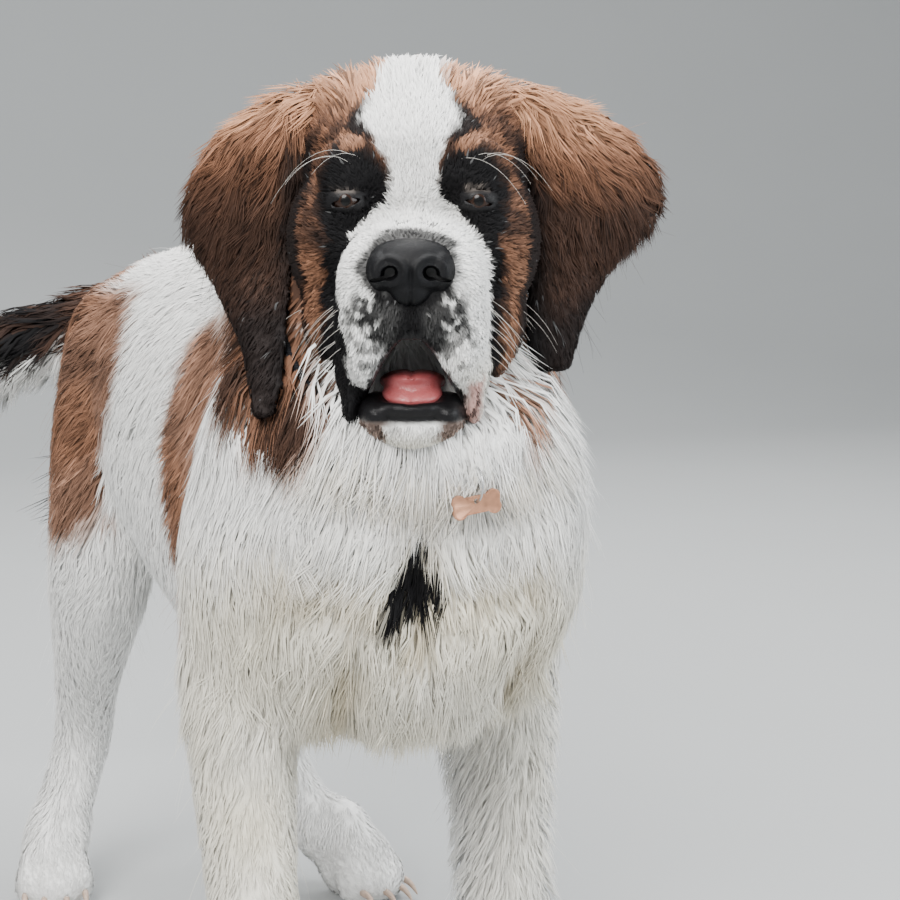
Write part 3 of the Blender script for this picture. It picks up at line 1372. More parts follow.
def hair_tones(colours, length, rng):
    """Each tuft a little lighter, darker or greyer than the next."""
    count = len(colours)
    tone = rng.uniform(0.86, 1.10, (count, 1)) * colours
    dark = (colours.sum(axis=1) < 0.9) & (colours.sum(axis=1) > 0.06)
    pick = rng.random(count)
    tone[dark & (pick < 0.16)] *= 0.35
    tone[dark & (pick > 0.86)] *= 1.55
    pepper = (colours.sum(axis=1) <= 0.06) & (pick < 0.014) & (length < 0.02)
    tone[pepper] = 0.09
    return tone


def tuft_points(patch, lines, tops, width, rng):
    """Corners of the tufts, ring after ring and then the tips, and the normals that shade them."""
    rings, tips, count = patch.rings, patch.tips, lines.shape[1]
    points = np.empty((count, rings * 3 + (1 if tips == 1 else 3), 3))
    facing = np.empty_like(points)
    for k in range(rings):
        ahead = unit(lines[k + 1] - lines[max(k - 1, 0)])
        across = unit(np.cross(tops[k], ahead))
        half = (width * TUFT_WIDTH[rings][k] / 2)[:, None]
        rise = np.cross(ahead, across)
        points[:, 3 * k] = lines[k] + across * half
        points[:, 3 * k + 1] = lines[k] + rise * half * TUFT_RISE
        points[:, 3 * k + 2] = lines[k] - across * half
        top = unit(tops[k] + rise * 0.5)
        facing[:, 3 * k] = unit(top + across * ROUNDING)
        facing[:, 3 * k + 1] = top
        facing[:, 3 * k + 2] = unit(top - across * ROUNDING)
    points[:, -1] = lines[-1]
    facing[:, -1] = tops[-1]
    if tips == 2:
        points[:, -3] = lines[rings - 1] - rise * half * 0.1
        facing[:, -3] = tops[rings - 1]
        spread = across * (width * rng.uniform(0.35, 1.10, count))[:, None]
        stagger = (lines[-1] - lines[rings - 1]) * rng.uniform(0.0, 0.30, (count, 1))
        points[:, -2] = lines[-1] + spread
        points[:, -1] = lines[-1] - spread - stagger
        facing[:, -2] = tops[-1]
    return inside_box(points), facing


def tuft_places(rings, tips):
    """Where each corner of a tuft lies across it and along it, from 0 to 1."""
    steps = TUFT_STEPS[rings]
    along = [t for t in steps for _ in range(3)] + ([1.0] if tips == 1 else [steps[-1], 1.0, 1.0])
    across = [0.0, 0.5, 1.0] * rings + ([0.5] if tips == 1 else [0.5, 0.2, 0.8])
    return np.array(across), np.array(along)


def grow_coat(skin, patch, thickness, seed):
    """Makes one coat piece and returns its object."""
    rng = np.random.default_rng(seed)
    places, normals, flat, zone = sow(skin, patch, thickness, rng)
    lines, tops, width = comb(skin, patch, places, normals, rng)
    if patch.clear_of:
        free = is_clear(skin, patch, lines)
        lines, tops, width = lines[:, free], tops[:, free], width[free]
        places, normals, flat, zone = places[free], normals[free], flat[free], zone[free]
    length = np.linalg.norm(lines[-1] - lines[0], axis=1)
    shown = lines[0] * 0.40 + lines[-1] * 0.60
    tone = hair_tones(marks(shown, normals, zone), length, rng)
    points, facing = tuft_points(patch, lines, tops, width, rng)
    obj, loops = weave_mesh(patch.name, points, tuft_faces(patch.rings, patch.tips))
    obj.data.shade_smooth()
    obj.data.normals_split_custom_set_from_vertices(facing.reshape(-1, 3).astype(np.float32))
    across, along = tuft_places(patch.rings, patch.tips)
    # Roots are darker than tips, less so in pale hair
    pale = np.clip(tone.sum(axis=1) / 2.0, 0, 1)[:, None]
    shade = (0.72 + 0.33 * along)[None] * (1 - pale) + (0.90 + 0.12 * along)[None] * pale
    put_colours(obj.data, (tone[:, None] * shade[:, :, None]).reshape(-1, 3))
    strand = np.empty_like(points)
    strand[:, :, 0] = across[None]
    strand[:, :, 1] = along[None] * length[:, None]
    strand[:, :, 2] = rng.random(len(places))[:, None]
    put_vectors(obj.data, "strand", strand.reshape(-1, 3))
    local = (np.stack([across, along], axis=1) - 0.5) * PATCH_ACROSS
    uv = (flat[:, None] + local[None]).reshape(-1, 2)
    layer = obj.data.uv_layers.new(name="OFBake")
    layer.data.foreach_set("uv", uv[loops].astype(np.float32).ravel())
    return obj


# Materials


def node_tree(kind, name, inputs, outputs):
    """An empty node tree with named sockets, and its two ends: (name, kind, default or None) for an input."""
    tree = bpy.data.node_groups.new(name, kind)
    for label, shape, value in inputs:
        socket = tree.interface.new_socket(label, in_out="INPUT", socket_type="NodeSocket" + shape)
        if value is not None:
            socket.default_value = value
    for label, shape in outputs:
        tree.interface.new_socket(label, in_out="OUTPUT", socket_type="NodeSocket" + shape)
    return tree, tree.nodes.new("NodeGroupInput").outputs, tree.nodes.new("NodeGroupOutput").inputs


def feed(tree, socket, value):
    """Links an output to the socket, or sets the socket to a value."""
    if isinstance(value, bpy.types.NodeSocket):
        tree.links.new(value, socket)
    else:
        socket.default_value = value


def node(tree, kind, inputs=None, **choices):
    """A node with its choices made and its inputs fed, each named or numbered; returns its outputs."""
    made = tree.nodes.new(kind)
    for key, value in choices.items():
        setattr(made, key, value)
    for key, value in (inputs or {}).items():
        feed(tree, made.inputs[key], value)
    return made.outputs


def sums(tree, operation, a, b):
    """A Math node on two sockets or numbers."""
    return node(tree, "ShaderNodeMath", {0: a, 1: b}, operation=operation)[0]


def scaled(tree, value, times, plus):
    return sums(tree, "ADD", sums(tree, "MULTIPLY", value, times), plus)


def attribute(tree, name, output):
    return node(tree, "ShaderNodeAttribute", attribute_name=name)[output]


def on_object(tree):
    return node(tree, "ShaderNodeTexCoord")["Object"]


def noise(tree, vector, scale, detail):
    return node(tree, "ShaderNodeTexNoise", {"Vector": vector, "Scale": scale, "Detail": detail})["Fac"]


def colour_ramp(tree, shader, factor, stops):
    """The base colour runs through stops of place and colour by the factor."""
    made = tree.nodes.new("ShaderNodeValToRGB")
    elements = made.color_ramp.elements
    for number, (place, colour) in enumerate(stops):
        stop = elements[number] if number < 2 else elements.new(place)
        stop.position, stop.color = place, (*colour, 1)
    tree.links.new(factor, made.inputs[0])
    tree.links.new(made.outputs[0], shader["Base Color"])


def tint(tree, shader, colour, factor):
    """The base colour is a colour multiplied by a factor that varies."""
    scale = {0: colour, "Scale": factor}
    feed(tree, shader["Base Color"], node(tree, "ShaderNodeVectorMath", scale, operation="SCALE")[0])


def bump(tree, shader, height, distance, strength):
    relief = {"Height": height, "Distance": distance, "Strength": strength}
    feed(tree, shader["Normal"], node(tree, "ShaderNodeBump", relief)[0])


def fresh(name, **values):
    """A material, its tree and its Principled shader's inputs, some of them with values."""
    made = bpy.data.materials.new(name)
    made.use_nodes = True
    shader = made.node_tree.nodes["Principled BSDF"].inputs
    for label, value in values.items():
        socket = shader[label.replace("_", " ")]
        is_colour = socket.type == "RGBA"
        socket.default_value = (*value, 1.0) if is_colour else value
    return made, made.node_tree, shader


def strand_group():
    """Splits a tuft into finer hairs: a factor for its colour and a height for its bump."""
    inputs = [("Hairs", "Float", 5.0), ("Contrast", "Float", 0.3)]
    outputs = [("Tone", "Float"), ("Height", "Float")]
    tree, start, end = node_tree("ShaderNodeTree", "fine hairs", inputs, outputs)
    across, along, own = node(tree, "ShaderNodeSeparateXYZ", {0: attribute(tree, "strand", "Vector")})
    column = sums(tree, "MULTIPLY", across, start["Hairs"])
    shifted = sums(tree, "ADD", column, sums(tree, "MULTIPLY", own, 91.0))
    place = node(tree, "ShaderNodeCombineXYZ", {0: shifted, 1: sums(tree, "MULTIPLY", along, 45.0), 2: own})
    height = noise(tree, place[0], 1.0, 1.0)
    swing = sums(tree, "MULTIPLY", sums(tree, "SUBTRACT", height, 0.5), start["Contrast"])
    tree.links.new(sums(tree, "ADD", swing, 1.0), end["Tone"])
    tree.links.new(height, end["Height"])
    return tree


def coat_material(name, roughness, contrast):
    made, tree, shader = fresh(name, Roughness=roughness, Specular_IOR_Level=0.10)
    hairs = tree.nodes.new("ShaderNodeGroup")
    hairs.node_tree = bpy.data.node_groups.get("fine hairs") or strand_group()
    hairs.inputs["Contrast"].default_value = contrast
    tint(tree, shader, attribute(tree, "coat", "Color"), hairs.outputs["Tone"])
    bump(tree, shader, hairs.outputs["Height"], 0.0006, 0.6)
    return made


def skin_material():
    """Short flat hair over the marked skin, smoother and wet-looking on lids and lips."""
    made, tree, shader = fresh("short hair on skin", Roughness=0.7, Specular_IOR_Level=0.18)
    place = on_object(tree)
    tone = scaled(tree, noise(tree, place, 180.0, 2.0), 0.30, 0.85)
    tint(tree, shader, attribute(tree, "coat", "Color"), tone)
    wet = sums(tree, "MULTIPLY", attribute(tree, "bare", "Fac"), 0.38)
    feed(tree, shader["Roughness"], sums(tree, "SUBTRACT", 0.72, wet))
    bump(tree, shader, noise(tree, place, 1400.0, 1.0), 0.0006, 0.5)
    return made


def single_hair_material():
    """Whiskers and stray hairs take the colour that they carry, a little uneven."""
    made, tree, shader = fresh("single hair", Roughness=0.45, Specular_IOR_Level=0.35)
    tone = scaled(tree, noise(tree, on_object(tree), 60.0, 2.0), 0.4, 0.8)
    tint(tree, shader, attribute(tree, "coat", "Color"), tone)
    return made


def pebble_material(name, colour, roughness, size, depth):
    """Wet leather of fine pebbles."""
    made, tree, shader = fresh(name, Specular_IOR_Level=0.15, Coat_Weight=0.02, Coat_Roughness=0.3)
    place = on_object(tree)
    pebbles = {"Vector": place, "Scale": 1.0 / size}
    cells = node(tree, "ShaderNodeTexVoronoi", pebbles, feature="DISTANCE_TO_EDGE")
    patchy = noise(tree, place, 160.0, 2.0)
    tint(tree, shader, colour, scaled(tree, patchy, 0.9, 0.6))
    feed(tree, shader["Roughness"], scaled(tree, patchy, 0.25, roughness - 0.1))
    bump(tree, shader, sums(tree, "MINIMUM", cells["Distance"], 0.22), depth, 1.0)
    return made


def tongue_material():
    made, tree, shader = fresh("tongue", Roughness=0.35, Specular_IOR_Level=0.5, Subsurface_Weight=0.15,
                               Subsurface_Scale=0.004, Subsurface_Radius=(1.0, 0.3, 0.2), Coat_Weight=0.15,
                               Coat_Roughness=0.25)
    place = on_object(tree)
    pinks = ((0.0, (0.33, 0.060, 0.064)), (1.0, (0.55, 0.155, 0.155)))
    colour_ramp(tree, shader, noise(tree, place, 90.0, 3.0), pinks)
    dots = node(tree, "ShaderNodeTexVoronoi", {"Vector": place, "Scale": 900.0})
    bump(tree, shader, sums(tree, "SUBTRACT", 1.0, dots["Distance"]), 0.0005, 0.5)
    return made


def horn_material():
    made, tree, shader = fresh("claw horn", Roughness=0.38, Specular_IOR_Level=0.45)
    place = on_object(tree)
    horns = ((0.0, (0.30, 0.20, 0.15)), (1.0, (0.62, 0.48, 0.38)))
    colour_ramp(tree, shader, noise(tree, place, 260.0, 3.0), horns)
    bump(tree, shader, noise(tree, place, 700.0, 2.0), 0.0003, 0.4)
    return made


def webbing_material():
    """Plain-woven dark webbing; its weave follows the band's own unwrapped length and width."""
    made, tree, shader = fresh("collar webbing", Roughness=0.8, Specular_IOR_Level=0.12)
    parts = node(tree, "ShaderNodeSeparateXYZ", {0: attribute(tree, "weave", "Vector")})
    waves = [sums(tree, "SINE", sums(tree, "MULTIPLY", parts[axis], 3400.0), 0.0) for axis in (0, 1)]
    height = sums(tree, "MULTIPLY", *waves)
    tint(tree, shader, (0.010, 0.010, 0.012), scaled(tree, height, 0.35, 1.0))
    bump(tree, shader, height, 0.0004, 0.8)
    return made


def metal_material(name, colour, roughness):
    """Brushed, slightly scuffed metal."""
    made, tree, shader = fresh(name, Metallic=1.0)
    place = on_object(tree)
    stretch = node(tree, "ShaderNodeMapping", {"Vector": place, "Scale": (60.0, 60.0, 1400.0)})
    scuffs = noise(tree, place, 320.0, 4.0)
    tint(tree, shader, colour, scaled(tree, scuffs, 0.5, 0.72))
    feed(tree, shader["Roughness"], scaled(tree, scuffs, 0.35, roughness - 0.15))
    bump(tree, shader, noise(tree, stretch[0], 1.0, 3.0), 0.0001, 0.4)
    return made


def eye_material():
    """Dark brown iris round the pupil, by distance from the eye's own axis."""
    made, tree, shader = fresh("eye", Roughness=0.20, Specular_IOR_Level=0.22, Coat_Weight=0.10,
                               Coat_Roughness=0.06)
    rings = ((0.24, (0.002, 0.002, 0.002)), (0.32, (0.020, 0.008, 0.004)), (0.60, (0.012, 0.005, 0.003)),
             (0.70, (0.003, 0.002, 0.002)), (0.86, (0.03, 0.018, 0.018)))
    colour_ramp(tree, shader, attribute(tree, "from_axis", "Fac"), rings)
    return made


# Eyes, nose, tongue and claws


def eye_form(side):
    """The eyeball with its clear bulge, looking straight ahead."""
    bm = bmesh.new()
    ball(bm, (0, 0, 0), (EYE_RADIUS,) * 3, (90, 0, 0), 40, 28)
    for v in bm.verts:
        ahead = -v.co.y / EYE_RADIUS
        v.co.y -= 0.0011 * float(ramp(ahead, 0.80, 0.97))
    obj = object_of(bm, "eye_right_ball" if side == RIGHT else "eye_left_ball")
    layer = obj.data.attributes.new("from_axis", "FLOAT", "POINT")
    places = coordinates(obj.data)
    off = np.hypot(places[:, 0], places[:, 2]) / EYE_RADIUS
    off[places[:, 1] > 0] = 1.0
    layer.data.foreach_set("value", off.astype(np.float32))
    obj.data.transform(head_frame() @ Matrix.Translation(hp(EYE[0] * side, EYE[1], EYE[2])))
    return obj


def nose_form():
    """The nose leather with its wings, slit nostrils and middle groove."""
    bm = bmesh.new()
    x, f, z = NOSE
    ball(bm, hp(x, f, z), (0.0250, 0.0150, 0.0175))
    ball(bm, hp(x, f - 0.004, z + 0.006), (0.0265, 0.0150, 0.0125))
    ball(bm, hp(x, f + 0.001, z - 0.012), (0.0130, 0.0115, 0.0110))
    for side in (RIGHT, LEFT):
        ball(bm, hp(0.0170 * side, f, z - 0.001), (0.0105, 0.0130, 0.0130))
    obj = push(melt(bm, "nose_leather", 0.0009, 10), nose_relief)
    for side in (RIGHT, LEFT):
        bm = bmesh.new()
        ball(bm, hp(0.0125 * side, f + 0.0125, z - 0.0020), (0.0054, 0.0110, 0.0046), (0, 18 * side, 0))
        ball(bm, hp(0.0190 * side, f + 0.0085, z - 0.0058), (0.0062, 0.0090, 0.0015), (0, 12 * side, 0))
        boolean(obj, [melt(bm, "nostril", 0.0007, 2)])
    obj.data.transform(head_frame())
    return obj


def nose_relief(places, _):
    """The middle groove and the swelling round each nostril, as a shift outwards."""
    _, f, z = NOSE
    groove = bell(places[:, 0], 0.0013) * ramp(places[:, 2], z + 0.004, z - 0.003)
    wing = np.hypot((np.abs(places[:, 0]) - 0.0125) / 0.0085, (places[:, 2] - z + 0.001) / 0.0075)
    swell = 0.0012 * bell(wing - 1.1, 0.25) * ramp(-places[:, 1], f + 0.004, f + 0.010)
    return swell - 0.0016 * groove


def tongue_form():
    """The tongue behind the lower lip, hollowed along its middle."""
    bm = bmesh.new()
    ball(bm, hp(0, 0.062, -0.1290), (0.0225, 0.050, 0.0085), (-9, 0, 0))
    ball(bm, hp(0, 0.094, -0.1330), (0.0200, 0.020, 0.0080), (10, 0, 0))
    obj = melt(bm, "tongue_surface", 0.0014, 40)
    places = coordinates(obj.data)
    normals = vertex_normals(obj.data)
    dent = bell(places[:, 0], 0.0022) * ramp(normals[:, 2], 0.0, 0.5)
    hollow = 0.7 * bell(places[:, 0], 0.011) * ramp(normals[:, 2], 0.0, 0.5)
    uneven = (mottle(places, 0.006, 71) - 0.5) * 0.0008
    places[:, 2] -= 0.0014 * dent + 0.0014 * hollow - uneven
    put_coordinates(obj.data, places)
    obj.data.transform(head_frame())
    return obj


def claw_forms(name, paw):
    """The four blunt hooked claws of one paw."""
    bm = bmesh.new()
    shape = ((0.0, 1.0, 0.0), (0.20, 1.04, 0.0003), (0.40, 0.98, 0.0012), (0.58, 0.84, 0.0030),
             (0.75, 0.66, 0.0055), (0.90, 0.44, 0.0085), (1.0, 0.18, 0.0112))
    for across, reach in TOES:
        root = paw.at(across * 1.02, reach + 0.10, 0.0170)
        ahead = (paw.at(across * 1.12, reach + 1.0, 0.0) - paw.at(across, reach, 0.0)).normalized()
        rings = []
        for t, size, drop in shape:
            centre = root + ahead * (CLAW_LENGTH * t) - UP * drop
            lean = (UP + ahead * t).normalized()
            r = CLAW_RADIUS * size
            rings.append(egg(centre, ahead.cross(lean).normalized(), lean, r * 0.82, r, r * 0.9, 16))
        loft(bm, rings)
    return closed(bm, "claws_" + name)


# Collar, ring and tag


def ring_centre():
    return TAG_HOLE + UP * RING_RADIUS


def collar_frame(a):
    """The collar's inner surface at angle a: its place and the way outwards."""
    out = ACROSS * (math.cos(a) * COLLAR_HALF[0]) + COLLAR_FRONT * (math.sin(a) * COLLAR_HALF[1])
    return COLLAR_CENTRE + COLLAR_FRONT * COLLAR_SHIFT + out, out.normalized()


def collar_form():
    """The webbing band with soft edges, and the loop at its front that carries the ring."""
    bm = bmesh.new()
    weave = bm.verts.layers.float_vector.new("weave")
    around, half, thick, eased = 160, COLLAR_WIDTH / 2, COLLAR_THICK, 0.001
    section = [(thick, -half + eased), (thick, -half * 0.5), (thick, 0), (thick, half * 0.5),
               (thick, half - eased), (thick * 0.75, half), (thick * 0.25, half), (0, half - eased), (0, 0),
               (0, -half + eased), (thick * 0.25, -half), (thick * 0.75, -half)]
    loops = []
    for i in range(around):
        place, away = collar_frame(math.tau * i / around)
        loop = []
        for grow, rise in section:
            v = bm.verts.new(place + away * grow + COLLAR_AXIS * rise)
            v[weave] = Vector((0.63 * i / around, rise, 0))
            loop.append(v)
        loops.append(loop)
    for i in range(around):
        a, b = loops[i], loops[(i + 1) % around]
        for j in range(len(section)):
            k = (j + 1) % len(section)
            bm.faces.new((a[j], a[k], b[k], b[j]))
    front = COLLAR_CENTRE + COLLAR_FRONT * (COLLAR_SHIFT + COLLAR_HALF[1] + COLLAR_THICK / 2)
    hook = ring_centre() + (front - ring_centre()).normalized() * (RING_RADIUS - 3.2 * RING_WIRE)
    base = Vector((hook.x, front.y, front.z))
    rows = []
    for i in range(17):
        a = math.pi * i / 16
        place = base + (hook - base) * (-0.05 + 1.05 * min(1.0, math.sin(a) * 1.35))
        rows.append((place.x + 0.0055 * math.cos(a), place.y, place.z, 0.0010, 0.0010))
    limb(bm, rows, across=Vector((0, -0.6, 0.8)), per_span=2, sides=10)
    return closed(bm, "collar_band")


def ring_form():
    """The split ring: a wire wound round twice, closed at both ends."""
    bm = bmesh.new()
    rings, turns, steps = [], 1.9, 120
    centre = ring_centre()
    for i in range(steps + 1):
        a = math.tau * turns * i / steps + 0.6
        out = Vector((0, math.cos(a), math.sin(a)))
        shift = ACROSS * (RING_WIRE * (i / steps - 0.5) * 1.1)
        rings.append(egg(centre + out * RING_RADIUS + shift, out, ACROSS, RING_WIRE, RING_WIRE * 0.55,
                         RING_WIRE * 0.55, 10))
    loft(bm, rings)
    return closed(bm, "split_ring")


def tag_form():
    """A plain bone-shaped plate with eased edges and a hole in its waist."""
    lobe = TAG_HEIGHT * 0.29
    far, high = TAG_LENGTH / 2 - lobe, TAG_HEIGHT / 2 - lobe
    outline = []
    for x, z, start in ((far, -high, -150), (far, high, -30), (-far, high, 30), (-far, -high, 150)):
        for i in range(19):
            a = math.radians(start + 180 * i / 18)
            outline.append((x + lobe * math.cos(a), z + lobe * math.sin(a)))
    below_hole = Vector((0, 0, -0.0022))
    turn = Matrix.Rotation(-TAG_TILT, 3, "Y")
    bm = bmesh.new()
    half, eased = TAG_THICK / 2, 0.00035
    rings, rim = [], half - eased
    for y, size in ((-rim, 0.86), (-half, 0.89), (-half, 1), (half, 1), (half, 0.89), (rim, 0.86)):
        rings.append([TAG_HOLE + turn @ (Vector((x * size, y, z * size)) + below_hole) for x, z in outline])
    loft(bm, rings)
    plate = closed(bm, "bone_tag")
    bm = bmesh.new()
    bore = Matrix.Translation(TAG_HOLE) @ Matrix.Rotation(math.radians(90), 4, "X")
    bmesh.ops.create_cone(bm, cap_ends=True, segments=28, radius1=TAG_BORE, radius2=TAG_BORE, depth=0.01,
                          matrix=bore)
    boolean(plate, [object_of(bm, "bore")])
    ease = plate.modifiers.new("ease", "BEVEL")
    ease.width = eased
    ease.segments = 3
    ease.limit_method = "ANGLE"
    ease.angle_limit = math.radians(50)
    take_evaluated(plate)
    plate.data.set_sharp_from_angle(angle=math.radians(60))
    return plate


# What follows a line: whiskers, brow hairs and the collar's stitches, by Geometry Nodes


def line_object(name, lines, thickness):
    """A mesh of edges along lines, with the wanted thickness at every point."""
    mesh = bpy.data.meshes.new(name)
    edges, first = [], 0
    for line in lines:
        edges += [(first + i, first + i + 1) for i in range(len(line) - 1)]
        first += len(line)
    mesh.from_pydata([tuple(p) for line in lines for p in line], edges, [])
    layer = mesh.attributes.new("thickness", "FLOAT", "POINT")
    layer.data.foreach_set("value", np.asarray(thickness, np.float32).ravel())
    return linked(name, mesh)


def geometry_tree(name, inputs):
    """A Geometry Nodes tree of named inputs, its ends, and the curves along the edges that it is given."""
    shapes = [("Geometry", "Geometry", None), *inputs, ("Finish", "Material", None)]
    tree, start, end = node_tree("GeometryNodeTree", name, shapes, [("Geometry", "Geometry")])
    return tree, start, end, node(tree, "GeometryNodeMeshToCurve", {0: start["Geometry"]})[0]


def run_tree(obj, tree, **values):
    """Runs the tree on obj with values for its named inputs, and keeps the plain mesh."""
    step = obj.modifiers.new(tree.name, "NODES")
    step.node_group = tree
    for item in tree.interface.items_tree:
        label = item.name.replace(" ", "_")
        if item.item_type == "SOCKET" and item.in_out == "INPUT" and label in values:
            step[item.identifier] = values[label]
    return take_evaluated(obj)


def hair_tree():
    """Round hairs along the edges of a mesh, as thick as its attribute says."""
    inputs = [("Sides", "Int", 5), ("Thickness", "Float", 1.0)]
    tree, start, end, curve = geometry_tree("single hairs", inputs)
    wanted = node(tree, "GeometryNodeInputNamedAttribute", {"Name": "thickness"}, data_type="FLOAT")
    profile = node(tree, "GeometryNodeCurvePrimitiveCircle", {"Radius": 1.0, "Resolution": start["Sides"]})
    body = node(tree, "GeometryNodeCurveToMesh", {
        "Fill Caps": True, "Curve": curve, "Profile Curve": profile["Curve"],
        "Scale": sums(tree, "MULTIPLY", wanted["Attribute"], start["Thickness"])})
    finish_tree(tree, body["Mesh"], start, end)
    return tree


def finish_tree(tree, geometry, start, end):
    """Ends a tree in Realize Instances and Set Material."""
    real = node(tree, "GeometryNodeRealizeInstances", {0: geometry})
    paint = node(tree, "GeometryNodeSetMaterial", {"Geometry": real[0], "Material": start["Finish"]})
    tree.links.new(paint[0], end[0])


def stitch_tree():
    """Short thread stitches at even steps along a line."""
    tree, start, end, curve = geometry_tree("stitches", [
        ("Step", "Float", 0.004), ("Thread", "Float", 0.0004), ("Length", "Float", 0.0026)])
    even = node(tree, "GeometryNodeResampleCurve", {"Curve": curve, "Length": start["Step"]}, mode="LENGTH")
    thread = node(tree, "GeometryNodeMeshUVSphere", {"Segments": 8, "Rings": 6, "Radius": start["Thread"]})
    half = sums(tree, "DIVIDE", sums(tree, "MULTIPLY", start["Length"], 0.5), start["Thread"])
    way = node(tree, "GeometryNodeInputTangent")[0]
    place = node(tree, "GeometryNodeInstanceOnPoints", {
        "Points": even[0], "Instance": thread["Mesh"],
        "Rotation": node(tree, "FunctionNodeAlignRotationToVector", {"Vector": way}, axis="Z")[0],
        "Scale": node(tree, "ShaderNodeCombineXYZ", {0: 1.0, 1: 1.0, 2: half})[0]})
    finish_tree(tree, place[0], start, end)
    return tree


HAIR_TIP = 0.00004


def hair_line(skin, root, way, length, sag, bend, steps):
    """A bending hair from the skin nearest to root, off in direction way."""
    near, out = skin.nearest(np.array([root]))
    place, way = near[0] - out[0] * 0.001, unit(np.array(way))
    line = [place]
    for _ in range(steps):
        way = unit(way + np.array([0, 0, -sag / steps]) + np.array(bend) / steps)
        place = place + way * (length / steps)
        line.append(place)
    return line


def whisker_lines(skin):
    """Whiskers of the lips, cheeks and chin, and the long pale hairs over the eyes."""
    rng = np.random.default_rng(5)
    skin.grow_tree((HEAD, JAWS))
    lines, thick = [], []
    rows = [(0.036 + 0.004 * i, 0.125 - 0.011 * i, -0.075 - 0.011 * j, 0.048)
            for i in range(4) for j in range(3)]
    rows += mm(((52, 30, -85, 50), (54, 26, -80, 42), (10, 105, -165, 34), (18, 95, -166, 36),
                (4, 85, -168, 40)))
    brows = [(0.030 + 0.005 * i, 0.070, 0.012 + 0.002 * (i % 2), 0.052) for i in range(4)]
    for number, (x, f, z, length) in enumerate(rows + brows):
        brow = number >= len(rows)
        for side in (RIGHT, LEFT):
            root = np.array([x * side, -f, z]) + rng.normal(0, 0.0018, 3)
            root = np.array(SKULL) + HEAD_TURN @ root
            outward = (0.55 * side, -0.30, 0.55) if brow else (1.0 * side, 0.10, -0.55)
            if abs(x) < 0.02:
                outward = (0.4 * side, -0.35, -0.9)
            way = HEAD_TURN @ (np.array(outward) + rng.normal(0, 0.12, 3))
            bend = HEAD_TURN @ np.array([0.9 * side if brow else 0.0, 0.5, 0.0])
            reach = length * rng.uniform(0.75, 1.15)
            line = hair_line(skin, root, way, reach, 2.4 if brow else 0.9, bend, 10)
            lines.append(inside_box(np.array(line)))
            thick.append(np.linspace(0.00011 if brow else 0.00012, HAIR_TIP, len(line)))
    colours = np.tile((0.66, 0.63, 0.58), (sum(len(line) for line in lines), 1))
    return lines, thick, colours


def long_hair_lines(skin):
    """Single pale hairs that stray from the coat of the crown, ears, ruff and chest."""
    rng = np.random.default_rng(8)
    lines, thick, colours = [], [], []
    for zone, coat, count, length in (
        (EAR_R, ear_coat, 160, 0.030), (EAR_L, ear_coat, 160, 0.030), (HEAD, head_coat, 170, 0.020),
        (BODY, body_coat, 1100, 0.042), (BRUSH, brush_coat, 130, 0.050),
    ):
        skin.grow_tree((zone,))
        usable = np.nonzero((skin.zone == zone) & (skin.centre[:, 2] > 0.10))[0]
        weight = skin.area[usable] / skin.area[usable].sum()
        for face in rng.choice(usable, count, p=weight):
            place, normal = skin.centre[face : face + 1], skin.turned[face : face + 1]
            _, f, z = to_head(place)
            if zone == HEAD and (z[0] < 0.035 or f[0] > 0.03):
                continue
            lie = unit(coat(place, normal)["lie"])[0] + normal[0] * rng.uniform(0.35, 0.75)
            lie = lie + rng.normal(0, 0.15, 3)
            reach = length * rng.uniform(0.7, 1.2)
            line = hair_line(skin, place[0], lie, reach, 0.7, rng.normal(0, 0.25, 3), 6)
            lines.append(inside_box(np.array(line)))
            thick.append(np.linspace(0.00014, HAIR_TIP, len(line)))
            colours.append(np.repeat(marks(place, normal, np.array([zone])), len(line), axis=0))
    return lines, thick, np.concatenate(colours) * 1.1


# The add-on: settings, one operator for each group of pieces, and the panel


def colour(name, description, default):
    return FloatVectorProperty(name=name, description=description, subtype="COLOR",
                               default=default, min=0, max=1)


class DogSettings(bpy.types.PropertyGroup):
    """Sizes and colours of the puppy that a user may change."""

    fine: FloatProperty(name="Head detail", description="Voxel size of the head's skin", default=0.0024,
                        min=0.001, max=0.005, unit="LENGTH")
    broad: FloatProperty(name="Body detail", description="Voxel size of the body's skin", default=0.0066,
                         min=0.003, max=0.010, unit="LENGTH")
    thickness: FloatProperty(name="Thickness of coat", description="Share of the full number of tufts",
                             default=1.0, min=0.05, max=1.2, subtype="FACTOR")
    seed: IntProperty(name="Seed", description="Seed of the coat's random places", default=7, min=0)
    nose_colour: colour("Nose", "Colour of the nose leather", (0.0030, 0.0030, 0.0036))
    tag_colour: colour("Tag", "Colour of the tag's metal", (0.56, 0.29, 0.18))
    floor_colour: colour("Floor", "Colour of the studio floor", (0.40, 0.41, 0.41))


def settings():
    return bpy.context.scene.dog


def finished_skin():
    """The skin's arrays, for what grows on it."""
    obj = bpy.data.objects.get("skin")
    if obj is None:
        raise RuntimeError("make the skin before its coat")
    return Skin(obj)


# What the names of the nodes begin with that the skin takes the place of
FLESH = ("head", "lower", "neck", "chest", "torso", "foreleg", "forepaw", "thigh", "shank", "hindpaw", "ear",
         "tail")


